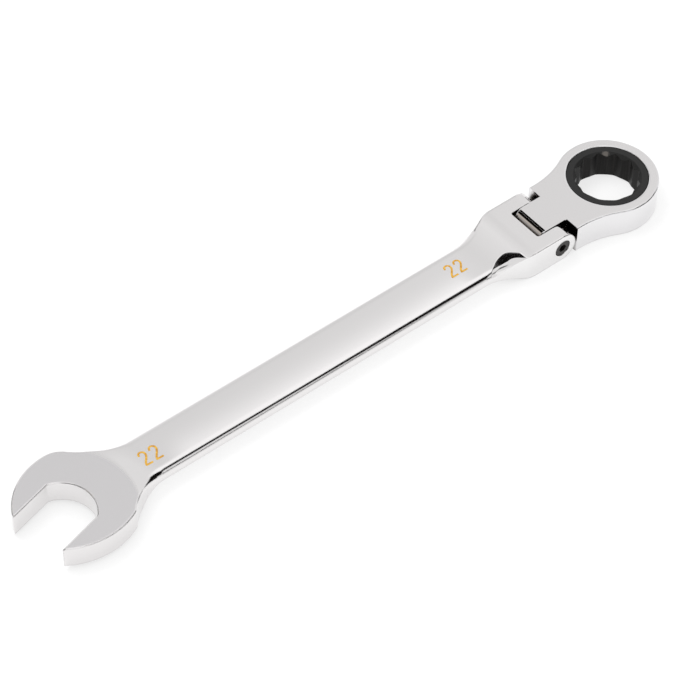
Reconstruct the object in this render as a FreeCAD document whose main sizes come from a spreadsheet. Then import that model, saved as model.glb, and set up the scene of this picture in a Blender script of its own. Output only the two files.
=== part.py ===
"""Flex-head ratcheting combination wrench, 22 mm: open end, shank, fork, swinging box end.

Units are millimetres and degrees. The origin is the middle of the twelve-point drive at half
its height, +X points along the tool to the nose of the ratchet head, the open end lies at -X,
+Y is across the tool and +Z is up, square to its flat faces.

The forged handle ends in a fork. The ratchet head hangs in it on a cross pin and swings a
quarter turn either way, held at any angle by a sprung plunger that rubs its round tongue end.
In the head a drive gear turns in a stepped bore, behind a retaining ring in a groove, and a
sprung pawl behind it lets it turn one way only.
"""
import FreeCAD, Part
import math
import os

import Sketcher

Vector = FreeCAD.Vector

# ---------------------------------------------------------------------------------------------
# Driving sizes: each is set here once, and everything else is worked out from them.
# ---------------------------------------------------------------------------------------------
SIZES = {
    # Drive gear
    "drive_flats": 22.0,            # across the flats of the twelve-point hole
    "drive_corner_round": 1.2,      # round in each of its twelve corners
    "drive_tip_round": 1.0,         # round on each point between them
    "drive_turn": 3.5,              # how the hole's corners stand at rest
    "lead_in_radius": 12.9,         # cone that guides a nut into the hole
    "lead_in_angle": 40.0,          # from the gear's face
    "gear_face_radius": 15.5,       # journal that shows in the head's faces
    "gear_tail_radius": 15.3,       # journal inside the retaining ring
    "gear_rim_radius": 16.7,        # over the tips of the ratchet teeth
    "gear_rim_half": 4.0,           # half the width of the toothed rim
    "gear_edge": 0.25,              # chamfer round each journal's end
    "tooth_count": 90.0,
    "tooth_depth": 0.5,
    "tooth_land": 0.08,             # flat on each tooth's tip, as a share of the pitch
    "tooth_lock_angle": 12.0,       # the locking flank leans this far from the radius
    # Ratchet head
    "head_radius": 19.4,
    "head_half_height": 6.0,
    "head_edge": 0.5,               # round along the head's outer edges
    "neck_half_width": 13.6,
    "neck_straight": 2.1,           # of the neck, before it blends into the round head
    "shoulder_gap": 0.9,            # between the neck's end and the tips of the fork's ears
    "tongue_half_width": 7.45,
    "tongue_end_radius": 7.2,       # round end of the tongue about the pin
    "tongue_corner": 0.9,
    "bore_clearance": 0.1,          # round the gear's journals
    "rim_clearance": 0.15,          # round the tips of the teeth
    "axial_play": 0.1,              # of the gear between its lip and the ring
    # Retaining ring
    "ring_width": 2.0,
    "ring_thickness": 1.0,
    "ring_gap_angle": 24.0,
    "ring_tail_clearance": 0.2,
    "groove_clearance": 0.05,
    # Pawl, its slot and its spring
    "pawl_half_width": 2.9,
    "pawl_length": 5.2,
    "pawl_half_height": 3.6,
    "pawl_edge": 0.4,
    "pawl_clearance": 0.05,
    "pawl_travel": 0.9,             # room behind the pawl
    "slot_corner": 0.8,
    "pawl_spring_radius": 1.3,      # outside of the coils
    "pawl_spring_wire": 0.4,
    "pawl_spring_turns": 4.0,
    "spring_hole_clearance": 0.2,
    "pawl_hole_depth": 3.0,
    "head_hole_depth": 3.6,
    # Hinge
    "pin_reach": 33.8,              # from the drive centre to the hinge axis
    "pin_radius": 3.0,
    "pin_head_radius": 3.5,
    "pin_head_length": 2.6,
    "pin_recess": 0.2,              # how far its ends lie below the fork's sides
    "pin_socket_flats": 3.0,
    "pin_socket_depth": 1.8,
    "pin_edge": 0.3,
    "pin_clearance": 0.04,
    # Fork
    "fork_half_width": 13.6,
    "fork_half_height": 6.0,
    "fork_side_clearance": 0.2,     # between the tongue and each ear
    "fork_floor_gap": 0.3,          # behind the tongue's round end
    "fork_floor_corner": 1.0,
    "fork_length": 13.0,            # from the hinge axis to the start of the flare
    "flare_length": 20.5,           # over which the fork narrows and thins to the shank
    "flare_shoulder": 4.7,          # of that, the part that still curves outwards
    "forge_growth": 0.95,           # how much rounder the forging's edges are there
    # Friction plunger and its spring
    "plunger_radius": 2.2,
    "plunger_length": 7.0,
    "plunger_clearance": 0.06,
    "plunger_touch": 0.04,          # left between the plunger and the tongue
    "plunger_nose": 0.6,
    "plunger_wall": 0.6,            # round the hole for its spring
    "plunger_hole_depth": 4.0,
    "friction_spring_length": 9.0,
    "friction_spring_wire": 0.6,
    "friction_spring_turns": 5.0,
    "friction_spring_side": 0.15,   # between the spring and the plunger's wall
    # Shank
    "shank_half_width": 9.95,
    "shank_half_height": 3.1,
    "shank_side_flat": 0.15,        # half the flat left between its upper and lower rounds
    # Open end
    "jaw_reach": 252.2,             # from the drive centre to the nut's centre in the jaw
    "jaw_angle": 15.0,
    "jaw_offset": 3.2,              # of the nut's centre from the shank's centre line
    "jaw_play": 0.1,                # added to the flats for the jaw's opening
    "jaw_half_height": 4.6,
    "upper_jaw_depth": 10.6,        # how far each jaw's flat runs beyond the nut's centre
    "lower_jaw_depth": 11.3,
    "jaw_tip_bevel": 1.1,           # how much shorter each jaw is on its outside
    "jaw_edge": 0.4,
    "throat_relief": 0.3,           # round the nut's corners
    "crown_offset_x": 10.2,         # upper jaw: the large arc's centre from the nut's
    "crown_offset_y": 2.0,
    "crown_radius": 25.7,
    "crown_shoulder": 10.0,
    "heel_offset_x": 8.1,           # lower jaw: the large arc's centre from the nut's
    "heel_offset_y": 8.7,
    "heel_radius": 27.4,
    "heel_corner": 2.5,
    "heel_corner_angle": 62.9,      # where it stands on that arc, from the shank's direction
    "jaw_blend": 24.0,              # concave arcs from the jaw to the shank
    "jaw_face_radius": 27.6,        # round edge of the jaw's flat face, about the nut's centre
    "jaw_fade_length": 12.0,        # from there to the shank's own thickness
    "jaw_fade_shoulder": 2.0,       # of that, the part that curves downwards
}

PLAY = 1.0                          # how far a cutting outline runs past the metal
TOUCH = 0.01                        # two places closer than this are one
NOTHING = 1e-6                      # a smaller length or volume counts as none
STEEP = 0.1                         # an edge with less of its length along X runs across
TOOTH_PHASE = 0.0                   # angle of one tooth's locking flank at rest

doc = FreeCAD.newDocument("ratchet_wrench")
sheet = doc.addObject("Spreadsheet::Sheet", "dims")
for row, (alias, size) in enumerate(SIZES.items(), start=1):
    sheet.set(f"A{row}", alias)
    sheet.set(f"B{row}", str(size))
    sheet.setAlias(f"B{row}", alias)
doc.recompute()


def value(expression):
    """The number that an expression on the sheet gives; a number stays as it is."""
    if isinstance(expression, str):
        return float(sheet.evalExpression(expression))
    return float(expression)


def bind(feature, prop, expression):
    """Set a property from a sheet expression, and keep it bound to it."""
    if isinstance(expression, str):
        feature.setExpression(prop, expression)
    else:
        setattr(feature, prop, expression)


# ---------------------------------------------------------------------------------------------
# Sketches and features
# ---------------------------------------------------------------------------------------------
def new_body(label):
    """An empty body whose label names its sub-part."""
    body = doc.addObject("PartDesign::Body", label)
    body.Label = label
    return body


def origin_part(body, role):
    """One of the body's own origin planes or axes."""
    return next(part for part in body.Origin.OriginFeatures if part.Role == role)


def new_sketch(body, name, plane):
    """An empty sketch on one of the body's own planes."""
    sketch = body.newObject("Sketcher::SketchObject", name)
    sketch.AttachmentSupport = [(origin_part(body, plane), "")]
    sketch.MapMode = "FlatFace"
    return sketch


def line_to(x, y):
    """A straight edge to a point."""
    return ("line", x, y)


def arc_to(x, y, radius, centre_side):
    """The shorter arc to a point, with its centre on the left or right of the way there."""
    return ("arc", x, y, radius, centre_side)


def arc_edge(start, end, radius, centre_side):
    """The circle arc between two points, and whether it runs anticlockwise from the first."""
    chord = end - start
    half = chord.Length / 2
    normal = Vector(-chord.y, chord.x, 0).normalize()
    side = 1 if centre_side == "left" else -1
    centre = (start + end) / 2 + normal * side * math.sqrt(max(radius ** 2 - half ** 2, 0.0))
    first, last = (start, end) if side > 0 else (end, start)
    angles = [math.atan2(point.y - centre.y, point.x - centre.x) for point in (first, last)]
    if angles[1] < angles[0]:
        angles[1] += 2 * math.pi
    circle = Part.Circle(centre, Vector(0, 0, 1), radius)
    return Part.ArcOfCircle(circle, angles[0], angles[1]), side > 0


def hold_point(sketch, edge, end, x, y):
    """Fix one end of an edge; a coordinate given as an expression stays bound to the sheet."""
    for kind, place, axis in (("DistanceX", x, -2), ("DistanceY", y, -1)):
        if value(place) == 0:
            sketch.addConstraint(Sketcher.Constraint("PointOnObject", edge, end, axis))
            continue
        number = sketch.addConstraint(
            Sketcher.Constraint(kind, -1, 1, edge, end, value(place)))
        if isinstance(place, str):
            sketch.setExpression(f"Constraints[{number}]", place)


def draw(sketch, start, *steps):
    """Add one closed outline: a start point, then edges that end where they began."""
    edges = []
    here = start
    for step in steps:
        from_point = Vector(value(here[0]), value(here[1]), 0)
        to_point = Vector(value(step[1]), value(step[2]), 0)
        if step[0] == "line":
            number = sketch.addGeometry(Part.LineSegment(from_point, to_point), False)
            edges.append((number, 1, 2, here))
        else:
            arc, forward = arc_edge(from_point, to_point, value(step[3]), step[4])
            number = sketch.addGeometry(arc, False)
            radius = sketch.addConstraint(Sketcher.Constraint("Radius", number, value(step[3])))
            if isinstance(step[3], str):
                sketch.setExpression(f"Constraints[{radius}]", step[3])
            edges.append((number, 1, 2, here) if forward else (number, 2, 1, here))
        here = (step[1], step[2])
    for edge, following in zip(edges, edges[1:] + edges[:1]):
        sketch.addConstraint(
            Sketcher.Constraint("Coincident", edge[0], edge[2], following[0], following[1]))
    for number, first, _, place in edges:
        hold_point(sketch, number, first, *place)


def draw_box(sketch, low_x, low_y, high_x, high_y):
    """Add one rectangle between two corners."""
    draw(sketch, (low_x, low_y), line_to(high_x, low_y), line_to(high_x, high_y),
         line_to(low_x, high_y), line_to(low_x, low_y))


def draw_circle(sketch, x, y, radius):
    """Add one full circle."""
    centre = Vector(value(x), value(y), 0)
    number = sketch.addGeometry(Part.Circle(centre, Vector(0, 0, 1), value(radius)), False)
    hold_point(sketch, number, 3, x, y)
    size = sketch.addConstraint(Sketcher.Constraint("Radius", number, value(radius)))
    if isinstance(radius, str):
        sketch.setExpression(f"Constraints[{size}]", radius)


def pad(body, name, sketch, length):
    """A pad of the whole length, half on each side of the sketch."""
    feature = body.newObject("PartDesign::Pad", name)
    feature.Profile = sketch
    feature.SideType = "Symmetric"
    bind(feature, "Length", length)
    doc.recompute()
    return feature


def pocket(body, name, sketch, length=None):
    """A pocket to both sides of the sketch: of one length over all, or right through."""
    before = body.Shape.Volume
    feature = body.newObject("PartDesign::Pocket", name)
    feature.Profile = sketch
    feature.SideType = "Symmetric"
    if length is None:
        feature.Type = "ThroughAll"
    else:
        bind(feature, "Length", length)
    doc.recompute()
    check_removed(body, feature, before)
    return feature


def sink(body, name, sketch, depth):
    """A pocket of one depth, from the sketch into the metal."""
    before = body.Shape.Volume
    feature = body.newObject("PartDesign::Pocket", name)
    feature.Profile = sketch
    bind(feature, "Length", depth)
    doc.recompute()
    check_removed(body, feature, before)
    return feature


def turned(body, name, sketch, axis, angle=360.0):
    """Metal turned about one of the body's axes."""
    feature = body.newObject("PartDesign::Revolution", name)
    feature.Profile = sketch
    feature.ReferenceAxis = (origin_part(body, axis), [""])
    bind(feature, "Angle", angle)
    doc.recompute()
    return feature


def groove(body, name, sketch, axis=None):
    """A full turned cut about one of the body's axes, or else the sketch's own upright."""
    before = body.Shape.Volume
    feature = body.newObject("PartDesign::Groove", name)
    feature.Profile = sketch
    own_upright = (sketch, ["V_Axis"])
    feature.ReferenceAxis = (origin_part(body, axis), [""]) if axis else own_upright
    feature.Angle = 360.0
    doc.recompute()
    check_removed(body, feature, before)
    return feature


def drill_along(body, name, mouth_x, bottom_x, radius):
    """A round hole with a flat bottom along the tool's centre line."""
    section = new_sketch(body, f"{name}_section", "XZ_Plane")
    draw(section, (mouth_x, 0), line_to(mouth_x, radius), line_to(bottom_x, radius),
         line_to(bottom_x, 0), line_to(mouth_x, 0))
    return groove(body, name, section, "X_Axis")


def drill_across(body, name, radius):
    """The hinge pin's hole, right through from side to side."""
    sketch = new_sketch(body, f"{name}_circle", "XZ_Plane")
    draw_circle(sketch, "-dims.pin_reach", 0, radius)
    return pocket(body, name, sketch)


def check_removed(body, feature, volume_before):
    """Stop if a cut took nothing away."""
    if body.Shape.Volume > volume_before - NOTHING:
        raise RuntimeError(f"{body.Label}: {feature.Label} removes nothing")


def round_edges(body, name, base, wanted, radius):
    """Round the edges of the body's last feature that a test picks."""
    names = [f"Edge{number}" for number, edge in enumerate(base.Shape.Edges, start=1)
             if wanted(edge)]
    feature = body.newObject("PartDesign::Fillet", name)
    feature.Base = (base, names)
    bind(feature, "Radius", radius)
    doc.recompute()
    return feature


def ring_of(body, name, feature, occurrences, angle=360.0):
    """Copies of one feature about the vertical axis."""
    pattern = body.newObject("PartDesign::PolarPattern", name)
    pattern.Originals = [feature]
    pattern.Axis = (origin_part(body, "Z_Axis"), [""])
    bind(pattern, "Angle", angle)
    bind(pattern, "Occurrences", occurrences)
    body.Tip = pattern
    doc.recompute()
    return pattern


def towards(start, end, distance):
    """The point at a distance from one point on the way to another."""
    return start + Vector(end - start).normalize() * distance


# ---------------------------------------------------------------------------------------------
# Places worked out from the sizes, as expressions on the sheet
# ---------------------------------------------------------------------------------------------
TOOTH_PITCH = "(360 / dims.tooth_count)"
# Angle about the gear's axis between a locking flank's root and its tip.
FLANK_LEAN = ("(dims.tooth_depth * tan(dims.tooth_lock_angle)"
              " / dims.gear_rim_radius * 180 / pi)")
# A pawl half a click away from full mesh stands this far out on the teeth's ramps.
HALF_CLICK = (f"(dims.tooth_depth * {TOOTH_PITCH} / 2"
              f" / ({TOOTH_PITCH} * (1 - dims.tooth_land) - {FLANK_LEAN}))")
PAWL_FRONT = f"(dims.gear_rim_radius - dims.tooth_depth + {HALF_CLICK})"
PAWL_BACK = f"({PAWL_FRONT} + dims.pawl_length)"
SLOT_BACK = f"({PAWL_BACK} + dims.pawl_travel)"
PAWL_SPRING_FRONT = f"(-{PAWL_BACK} + dims.pawl_hole_depth)"
PAWL_SPRING_BACK = f"(-{SLOT_BACK} - dims.head_hole_depth)"
PAWL_SPRING_HOLE = "(dims.pawl_spring_radius + dims.spring_hole_clearance)"
JAW_FADE_END = "(dims.jaw_face_radius + dims.jaw_fade_length)"
JAW_HALF_OPENING = "((dims.drive_flats + dims.jaw_play) / 2)"
THROAT_RADIUS = "(dims.drive_flats / 2 / cos(30) + dims.throat_relief)"
PIN_END = "(dims.fork_half_width - dims.pin_recess)"
FORK_TIP = "(-dims.pin_reach + dims.fork_half_height)"
SHOULDER = f"({FORK_TIP} + dims.shoulder_gap)"
NECK_END = f"({SHOULDER} + dims.neck_straight)"
# The arc that leaves the neck's side at its end and meets the round head in one line.
NECK_BLEND = (f"(({NECK_END} ^ 2 + dims.neck_half_width ^ 2 - dims.head_radius ^ 2)"
              " / (2 * (dims.head_radius - dims.neck_half_width)))")
FORK_FLOOR = "(-dims.pin_reach - dims.tongue_end_radius - dims.fork_floor_gap)"
SHANK_EDGE = "(dims.shank_half_height - dims.shank_side_flat)"
FORGED_EDGE = f"({SHANK_EDGE} + dims.forge_growth)"
# The forging is wide enough at the fork for its sides to be ground down to sharp edges.
FORGED_HALF_WIDTH = f"(dims.fork_half_width + {FORGED_EDGE} + {PLAY})"
FLARE_START = "(-dims.pin_reach - dims.fork_length)"
FLARE_TURN = f"({FLARE_START} - dims.flare_shoulder)"
FLARE_END = f"({FLARE_START} - dims.flare_length)"
PLUNGER_FRONT = "(-dims.pin_reach - dims.tongue_end_radius - dims.plunger_touch)"
PLUNGER_BACK = f"({PLUNGER_FRONT} - dims.plunger_length)"
SPRING_FRONT = f"({PLUNGER_BACK} + dims.plunger_hole_depth)"
SPRING_BACK = f"({SPRING_FRONT} - dims.friction_spring_length)"


def hexagon_steps(flats, corner_round, turn):
    """A hexagon with rounded corners: its start point and its edges, first corner at turn."""
    corner_distance = flats / 2 / math.cos(math.radians(30))
    trim = corner_round * math.tan(math.radians(30))
    corners = [Vector(corner_distance * math.cos(math.radians(turn + 60 * index)),
                      corner_distance * math.sin(math.radians(turn + 60 * index)), 0)
               for index in range(6)]
    points = []
    for index, corner in enumerate(corners):
        points.append(towards(corner, corners[index - 1], trim))
        points.append(towards(corner, corners[(index + 1) % 6], trim))
    steps = []
    for index in range(6):
        leave = points[2 * index + 1]
        arrive = points[(2 * index + 2) % 12]
        if corner_round > 0:
            steps.append(arc_to(leave.x, leave.y, corner_round, "left"))
        steps.append(line_to(arrive.x, arrive.y))
    start = points[0]
    return (start.x, start.y), steps


def tooth_line(first_tooth, teeth, phase, grow):
    """The saw-tooth line of the gear's rim, as points from one tooth to the next.

    Each tooth rises along a ramp as the angle grows and drops at its locking flank. The line
    lies outside the gear's own by grow, which is the clearance that a mating piece leaves.
    """
    pitch = value(TOOTH_PITCH)
    tip = value("dims.gear_rim_radius") + grow
    root = value("dims.gear_rim_radius - dims.tooth_depth") + grow
    lean = value(FLANK_LEAN)
    land = value("dims.tooth_land") * pitch
    points = []
    for tooth in range(first_tooth, first_tooth + teeth):
        drop = phase + tooth * pitch
        for radius, angle in ((tip, drop - land - lean), (tip, drop - lean), (root, drop)):
            turn = math.radians(angle)
            points.append(Vector(radius * math.cos(turn), radius * math.sin(turn), 0))
    return points


# ---------------------------------------------------------------------------------------------
# Handle: open end, shank and fork in one forging
# ---------------------------------------------------------------------------------------------
def ease(length, drop, first_length):
    """A smooth step of two arcs: the first arc's radius and drop, and the second's radius."""
    turn = 2 * math.atan2(drop, length)
    first_radius = first_length / math.sin(turn)
    second_radius = (length - first_length) / math.sin(turn)
    return first_radius, first_radius * (1 - math.cos(turn)), second_radius


def jaw_axes():
    """The nut's centre in the open end, the way out of the mouth, and the way up across it."""
    nut = Vector(-value("dims.jaw_reach"), -value("dims.jaw_offset"), 0)
    angle = math.radians(180 + value("dims.jaw_angle"))
    out = Vector(math.cos(angle), math.sin(angle), 0)
    return nut, out, Vector(out.y, -out.x, 0)


def flare_arcs(half_width):
    """The two arcs of a side's flare: the outer's radius and its drop, and the inner's radius."""
    return ease(value("dims.flare_length"), value(f"{half_width} - dims.shank_half_width"),
                value("dims.flare_shoulder"))


def handle_outline(sketch):
    """Draw the forging seen from above, wide at the fork and with the mouth still closed."""
    nut = jaw_axes()[0]
    half = value("dims.shank_half_width")
    blend = value("dims.jaw_blend")
    crown = nut + Vector(value("dims.crown_offset_x"), -value("dims.crown_offset_y"), 0)
    crown_radius = value("dims.crown_radius")
    shoulder_radius = value("dims.crown_shoulder")
    shoulder = crown + Vector(0, crown_radius - shoulder_radius, 0)
    upper_y = half + blend
    reach = math.sqrt((shoulder_radius + blend) ** 2 - (upper_y - shoulder.y) ** 2)
    upper_blend = Vector(shoulder.x + reach, upper_y, 0)
    shoulder_end = towards(shoulder, upper_blend, shoulder_radius)
    heel = nut + Vector(value("dims.heel_offset_x"), value("dims.heel_offset_y"), 0)
    heel_radius = value("dims.heel_radius")
    corner_radius = value("dims.heel_corner")
    lean = math.radians(value("dims.heel_corner_angle"))
    corner = heel + Vector(math.cos(lean), -math.sin(lean), 0) * (heel_radius - corner_radius)
    lower_y = -half - blend
    reach = math.sqrt((corner_radius + blend) ** 2 - (lower_y - corner.y) ** 2)
    lower_blend = Vector(corner.x + reach, lower_y, 0)
    corner_start = towards(heel, corner, heel_radius)
    corner_end = towards(lower_blend, corner, blend)
    upper_tip, upper_point = jaw_tip("dims.upper_jaw_depth", crown, crown_radius, 1)
    lower_tip, lower_point = jaw_tip("dims.lower_jaw_depth", heel, heel_radius, -1)
    outer_flare, narrowing, inner_flare = flare_arcs(FORGED_HALF_WIDTH)
    turn_y = value(FORGED_HALF_WIDTH) - narrowing
    draw(sketch, (FORK_TIP, FORGED_HALF_WIDTH),
         line_to(FLARE_START, FORGED_HALF_WIDTH),
         arc_to(FLARE_TURN, turn_y, outer_flare, "left"),
         arc_to(FLARE_END, "dims.shank_half_width", inner_flare, "right"),
         line_to(upper_blend.x, "dims.shank_half_width"),
         arc_to(shoulder_end.x, shoulder_end.y, "dims.jaw_blend", "right"),
         arc_to(shoulder.x, crown.y + crown_radius, "dims.crown_shoulder", "left"),
         arc_to(upper_tip.x, upper_tip.y, "dims.crown_radius", "left"),
         line_to(upper_point.x, upper_point.y),
         line_to(lower_point.x, lower_point.y),
         line_to(lower_tip.x, lower_tip.y),
         arc_to(corner_start.x, corner_start.y, "dims.heel_radius", "left"),
         arc_to(corner_end.x, corner_end.y, "dims.heel_corner", "left"),
         arc_to(lower_blend.x, "-dims.shank_half_width", "dims.jaw_blend", "right"),
         line_to(FLARE_END, "-dims.shank_half_width"),
         arc_to(FLARE_TURN, -turn_y, inner_flare, "right"),
         arc_to(FLARE_START, f"-{FORGED_HALF_WIDTH}", outer_flare, "left"),
         line_to(FORK_TIP, f"-{FORGED_HALF_WIDTH}"),
         line_to(FORK_TIP, FORGED_HALF_WIDTH))


def ground_side(sketch):
    """Draw what is ground off both sides of the fork and of the flare behind it."""
    outer_flare, narrowing, inner_flare = flare_arcs("dims.fork_half_width")
    past_tip = f"{FORK_TIP} + {PLAY}"
    outside = value(FORGED_HALF_WIDTH) + PLAY
    for sign, inner, outer in (("", "right", "left"), ("-", "left", "right")):
        side = -1 if sign else 1
        turn_y = side * (value("dims.fork_half_width") - narrowing)
        draw(sketch, (FLARE_END, f"{sign}dims.shank_half_width"),
             arc_to(FLARE_TURN, turn_y, inner_flare, outer),
             arc_to(FLARE_START, f"{sign}dims.fork_half_width", outer_flare, inner),
             line_to(past_tip, f"{sign}dims.fork_half_width"),
             line_to(past_tip, side * outside),
             line_to(FLARE_END, side * outside),
             line_to(FLARE_END, f"{sign}dims.shank_half_width"))


def jaw_tip(depth, centre, radius, side):
    """One jaw's end: where its outer arc stops, and the point where its flat stops."""
    nut, out, up = jaw_axes()
    from_nut = centre - nut
    stop = value(f"{depth} - dims.jaw_tip_bevel")
    along = stop - from_nut.dot(out)
    across = from_nut.dot(up) + side * math.sqrt(radius ** 2 - along ** 2)
    point = nut + out * value(depth) + up * side * value(JAW_HALF_OPENING)
    return nut + out * stop + up * across, point


def jaw_fade(sketch):
    """Draw half of what is turned off above and below the jaw, about the nut's axis."""
    first_radius, drop, second_radius = ease(
        value("dims.jaw_fade_length"), value("dims.jaw_half_height - dims.shank_half_height"),
        value("dims.jaw_fade_shoulder"))
    outer = f"{JAW_FADE_END} + dims.shank_half_width"
    turn = "dims.jaw_face_radius + dims.jaw_fade_shoulder"
    clear = value("dims.fork_half_height") + PLAY
    for sign, inner_side, outer_side in (("", "right", "left"), ("-", "left", "right")):
        side = -1 if sign else 1
        turn_z = side * (value("dims.jaw_half_height") - drop)
        draw(sketch, (0, f"{sign}dims.jaw_half_height"),
             line_to("dims.jaw_face_radius", f"{sign}dims.jaw_half_height"),
             arc_to(turn, turn_z, first_radius, inner_side),
             arc_to(JAW_FADE_END, f"{sign}dims.shank_half_height", second_radius, outer_side),
             line_to(outer, f"{sign}dims.shank_half_height"),
             line_to(outer, side * clear),
             line_to(0, side * clear),
             line_to(0, f"{sign}dims.jaw_half_height"))


def handle_side_cuts(sketch):
    """Draw what is cut away seen from the side: above and below the shank, and the ear tips."""
    start = f"-dims.jaw_reach + {JAW_FADE_END}"
    outer_flare, rise, inner_flare = ease(
        value("dims.flare_length"), value("dims.fork_half_height - dims.shank_half_height"),
        value("dims.flare_shoulder"))
    turn_z = value("dims.fork_half_height") - rise
    clear = value("dims.fork_half_height") + PLAY
    for sign, inner, outer in (("", "right", "left"), ("-", "left", "right")):
        side = -1 if sign else 1
        draw(sketch, (start, f"{sign}dims.shank_half_height"),
             line_to(FLARE_END, f"{sign}dims.shank_half_height"),
             arc_to(FLARE_TURN, side * turn_z, inner_flare, outer),
             arc_to(FLARE_START, f"{sign}dims.fork_half_height", outer_flare, inner),
             line_to(FLARE_START, side * clear),
             line_to(start, side * clear),
             line_to(start, f"{sign}dims.shank_half_height"))
    past_tip = f"{FORK_TIP} + {PLAY}"
    draw(sketch, ("-dims.pin_reach", "dims.fork_half_height"),
         arc_to(FORK_TIP, 0, "dims.fork_half_height", "right"),
         arc_to("-dims.pin_reach", "-dims.fork_half_height", "dims.fork_half_height", "right"),
         line_to("-dims.pin_reach", -clear),
         line_to(past_tip, -clear),
         line_to(past_tip, clear),
         line_to("-dims.pin_reach", clear),
         line_to("-dims.pin_reach", "dims.fork_half_height"))


def mouth_outline(sketch):
    """Draw the mouth: two flats and a throat that clears the nut's corners."""
    nut, out, up = jaw_axes()
    half = value(JAW_HALF_OPENING)
    throat = value(THROAT_RADIUS)
    behind = math.sqrt(throat ** 2 - half ** 2)
    mouth = max(value("dims.upper_jaw_depth"), value("dims.lower_jaw_depth")) + PLAY
    upper_end = nut + out * mouth + up * half
    lower_end = nut + out * mouth - up * half
    upper_in = nut - out * behind + up * half
    lower_in = nut - out * behind - up * half
    back = nut - out * throat
    draw(sketch, (upper_end.x, upper_end.y),
         line_to(upper_in.x, upper_in.y),
         arc_to(back.x, back.y, THROAT_RADIUS, "right"),
         arc_to(lower_in.x, lower_in.y, THROAT_RADIUS, "right"),
         line_to(lower_end.x, lower_end.y),
         line_to(upper_end.x, upper_end.y))


def fork_slot(sketch):
    """Draw the slot that takes the tongue, with its two rounded floor corners."""
    half = "(dims.tongue_half_width + dims.fork_side_clearance)"
    corner = "dims.fork_floor_corner"
    open_end = f"{FORK_TIP} + {PLAY}"
    draw(sketch, (open_end, half),
         line_to(f"{FORK_FLOOR} + {corner}", half),
         arc_to(FORK_FLOOR, f"{half} - {corner}", corner, "left"),
         line_to(FORK_FLOOR, f"-{half} + {corner}"),
         arc_to(f"{FORK_FLOOR} + {corner}", f"-{half}", corner, "left"),
         line_to(open_end, f"-{half}"),
         line_to(open_end, half))


def edge_round(point):
    """The round on the handle's outer edges at a point on them."""
    if point.x >= value(FLARE_TURN) - TOUCH:
        return value(FORGED_EDGE)
    from_nut = Vector(point.x, point.y, 0) - jaw_axes()[0]
    faded = (from_nut.Length - value("dims.jaw_face_radius")) / value("dims.jaw_fade_length")
    share = min(max(faded, 0.0), 1.0)
    return value("dims.jaw_edge") * (1 - share) + value(SHANK_EDGE) * share


def on_outline(edge):
    """Whether an edge of the handle runs along its outer outline, above or below."""
    middle = edge.valueAt((edge.FirstParameter + edge.LastParameter) / 2)
    way = edge.Vertexes[-1].Point - edge.Vertexes[0].Point
    crosses = abs(way.x) < way.Length * STEEP and abs(way.y) > NOTHING
    if way.Length < TOUCH or crosses or abs(way.z) > way.Length / 2:
        return False
    if middle.x > value(FORK_FLOOR):
        return abs(middle.y) > value(FORGED_HALF_WIDTH) - TOUCH
    nut, out, up = jaw_axes()
    from_nut = Vector(middle.x, middle.y, 0) - nut
    if middle.x > nut.x + value("dims.jaw_face_radius"):
        return abs(middle.y) > value("dims.shank_half_width") - TOUCH
    at_tips = from_nut.dot(out) > value("dims.upper_jaw_depth - dims.jaw_tip_bevel") - TOUCH
    in_mouth = abs(from_nut.dot(up)) < value(JAW_HALF_OPENING) + TOUCH and from_nut.dot(out) > 0
    in_throat = from_nut.Length < value(THROAT_RADIUS) + TOUCH
    return not (at_tips or in_mouth or in_throat)


def outline_rounds(shape):
    """Each outer edge's number, with the rounds where its chain enters and leaves it.

    The upper and lower edges of one side form one chain, round the fork's tip, and it is
    followed the way its first edge runs. So the upper edges are followed one way along X and
    the lower edges the other way.
    """
    rounds = []
    chains = {}
    for number, edge in enumerate(shape.Edges, start=1):
        if not on_outline(edge):
            continue
        ends = [edge.valueAt(edge.FirstParameter), edge.valueAt(edge.LastParameter)]
        runs = (ends[1].x > ends[0].x) == (ends[0].z > 0)
        if chains.setdefault(ends[0].y > 0, runs) != runs:
            ends.reverse()
        rounds.append((number, edge_round(ends[0]), edge_round(ends[1])))
    return rounds


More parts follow.
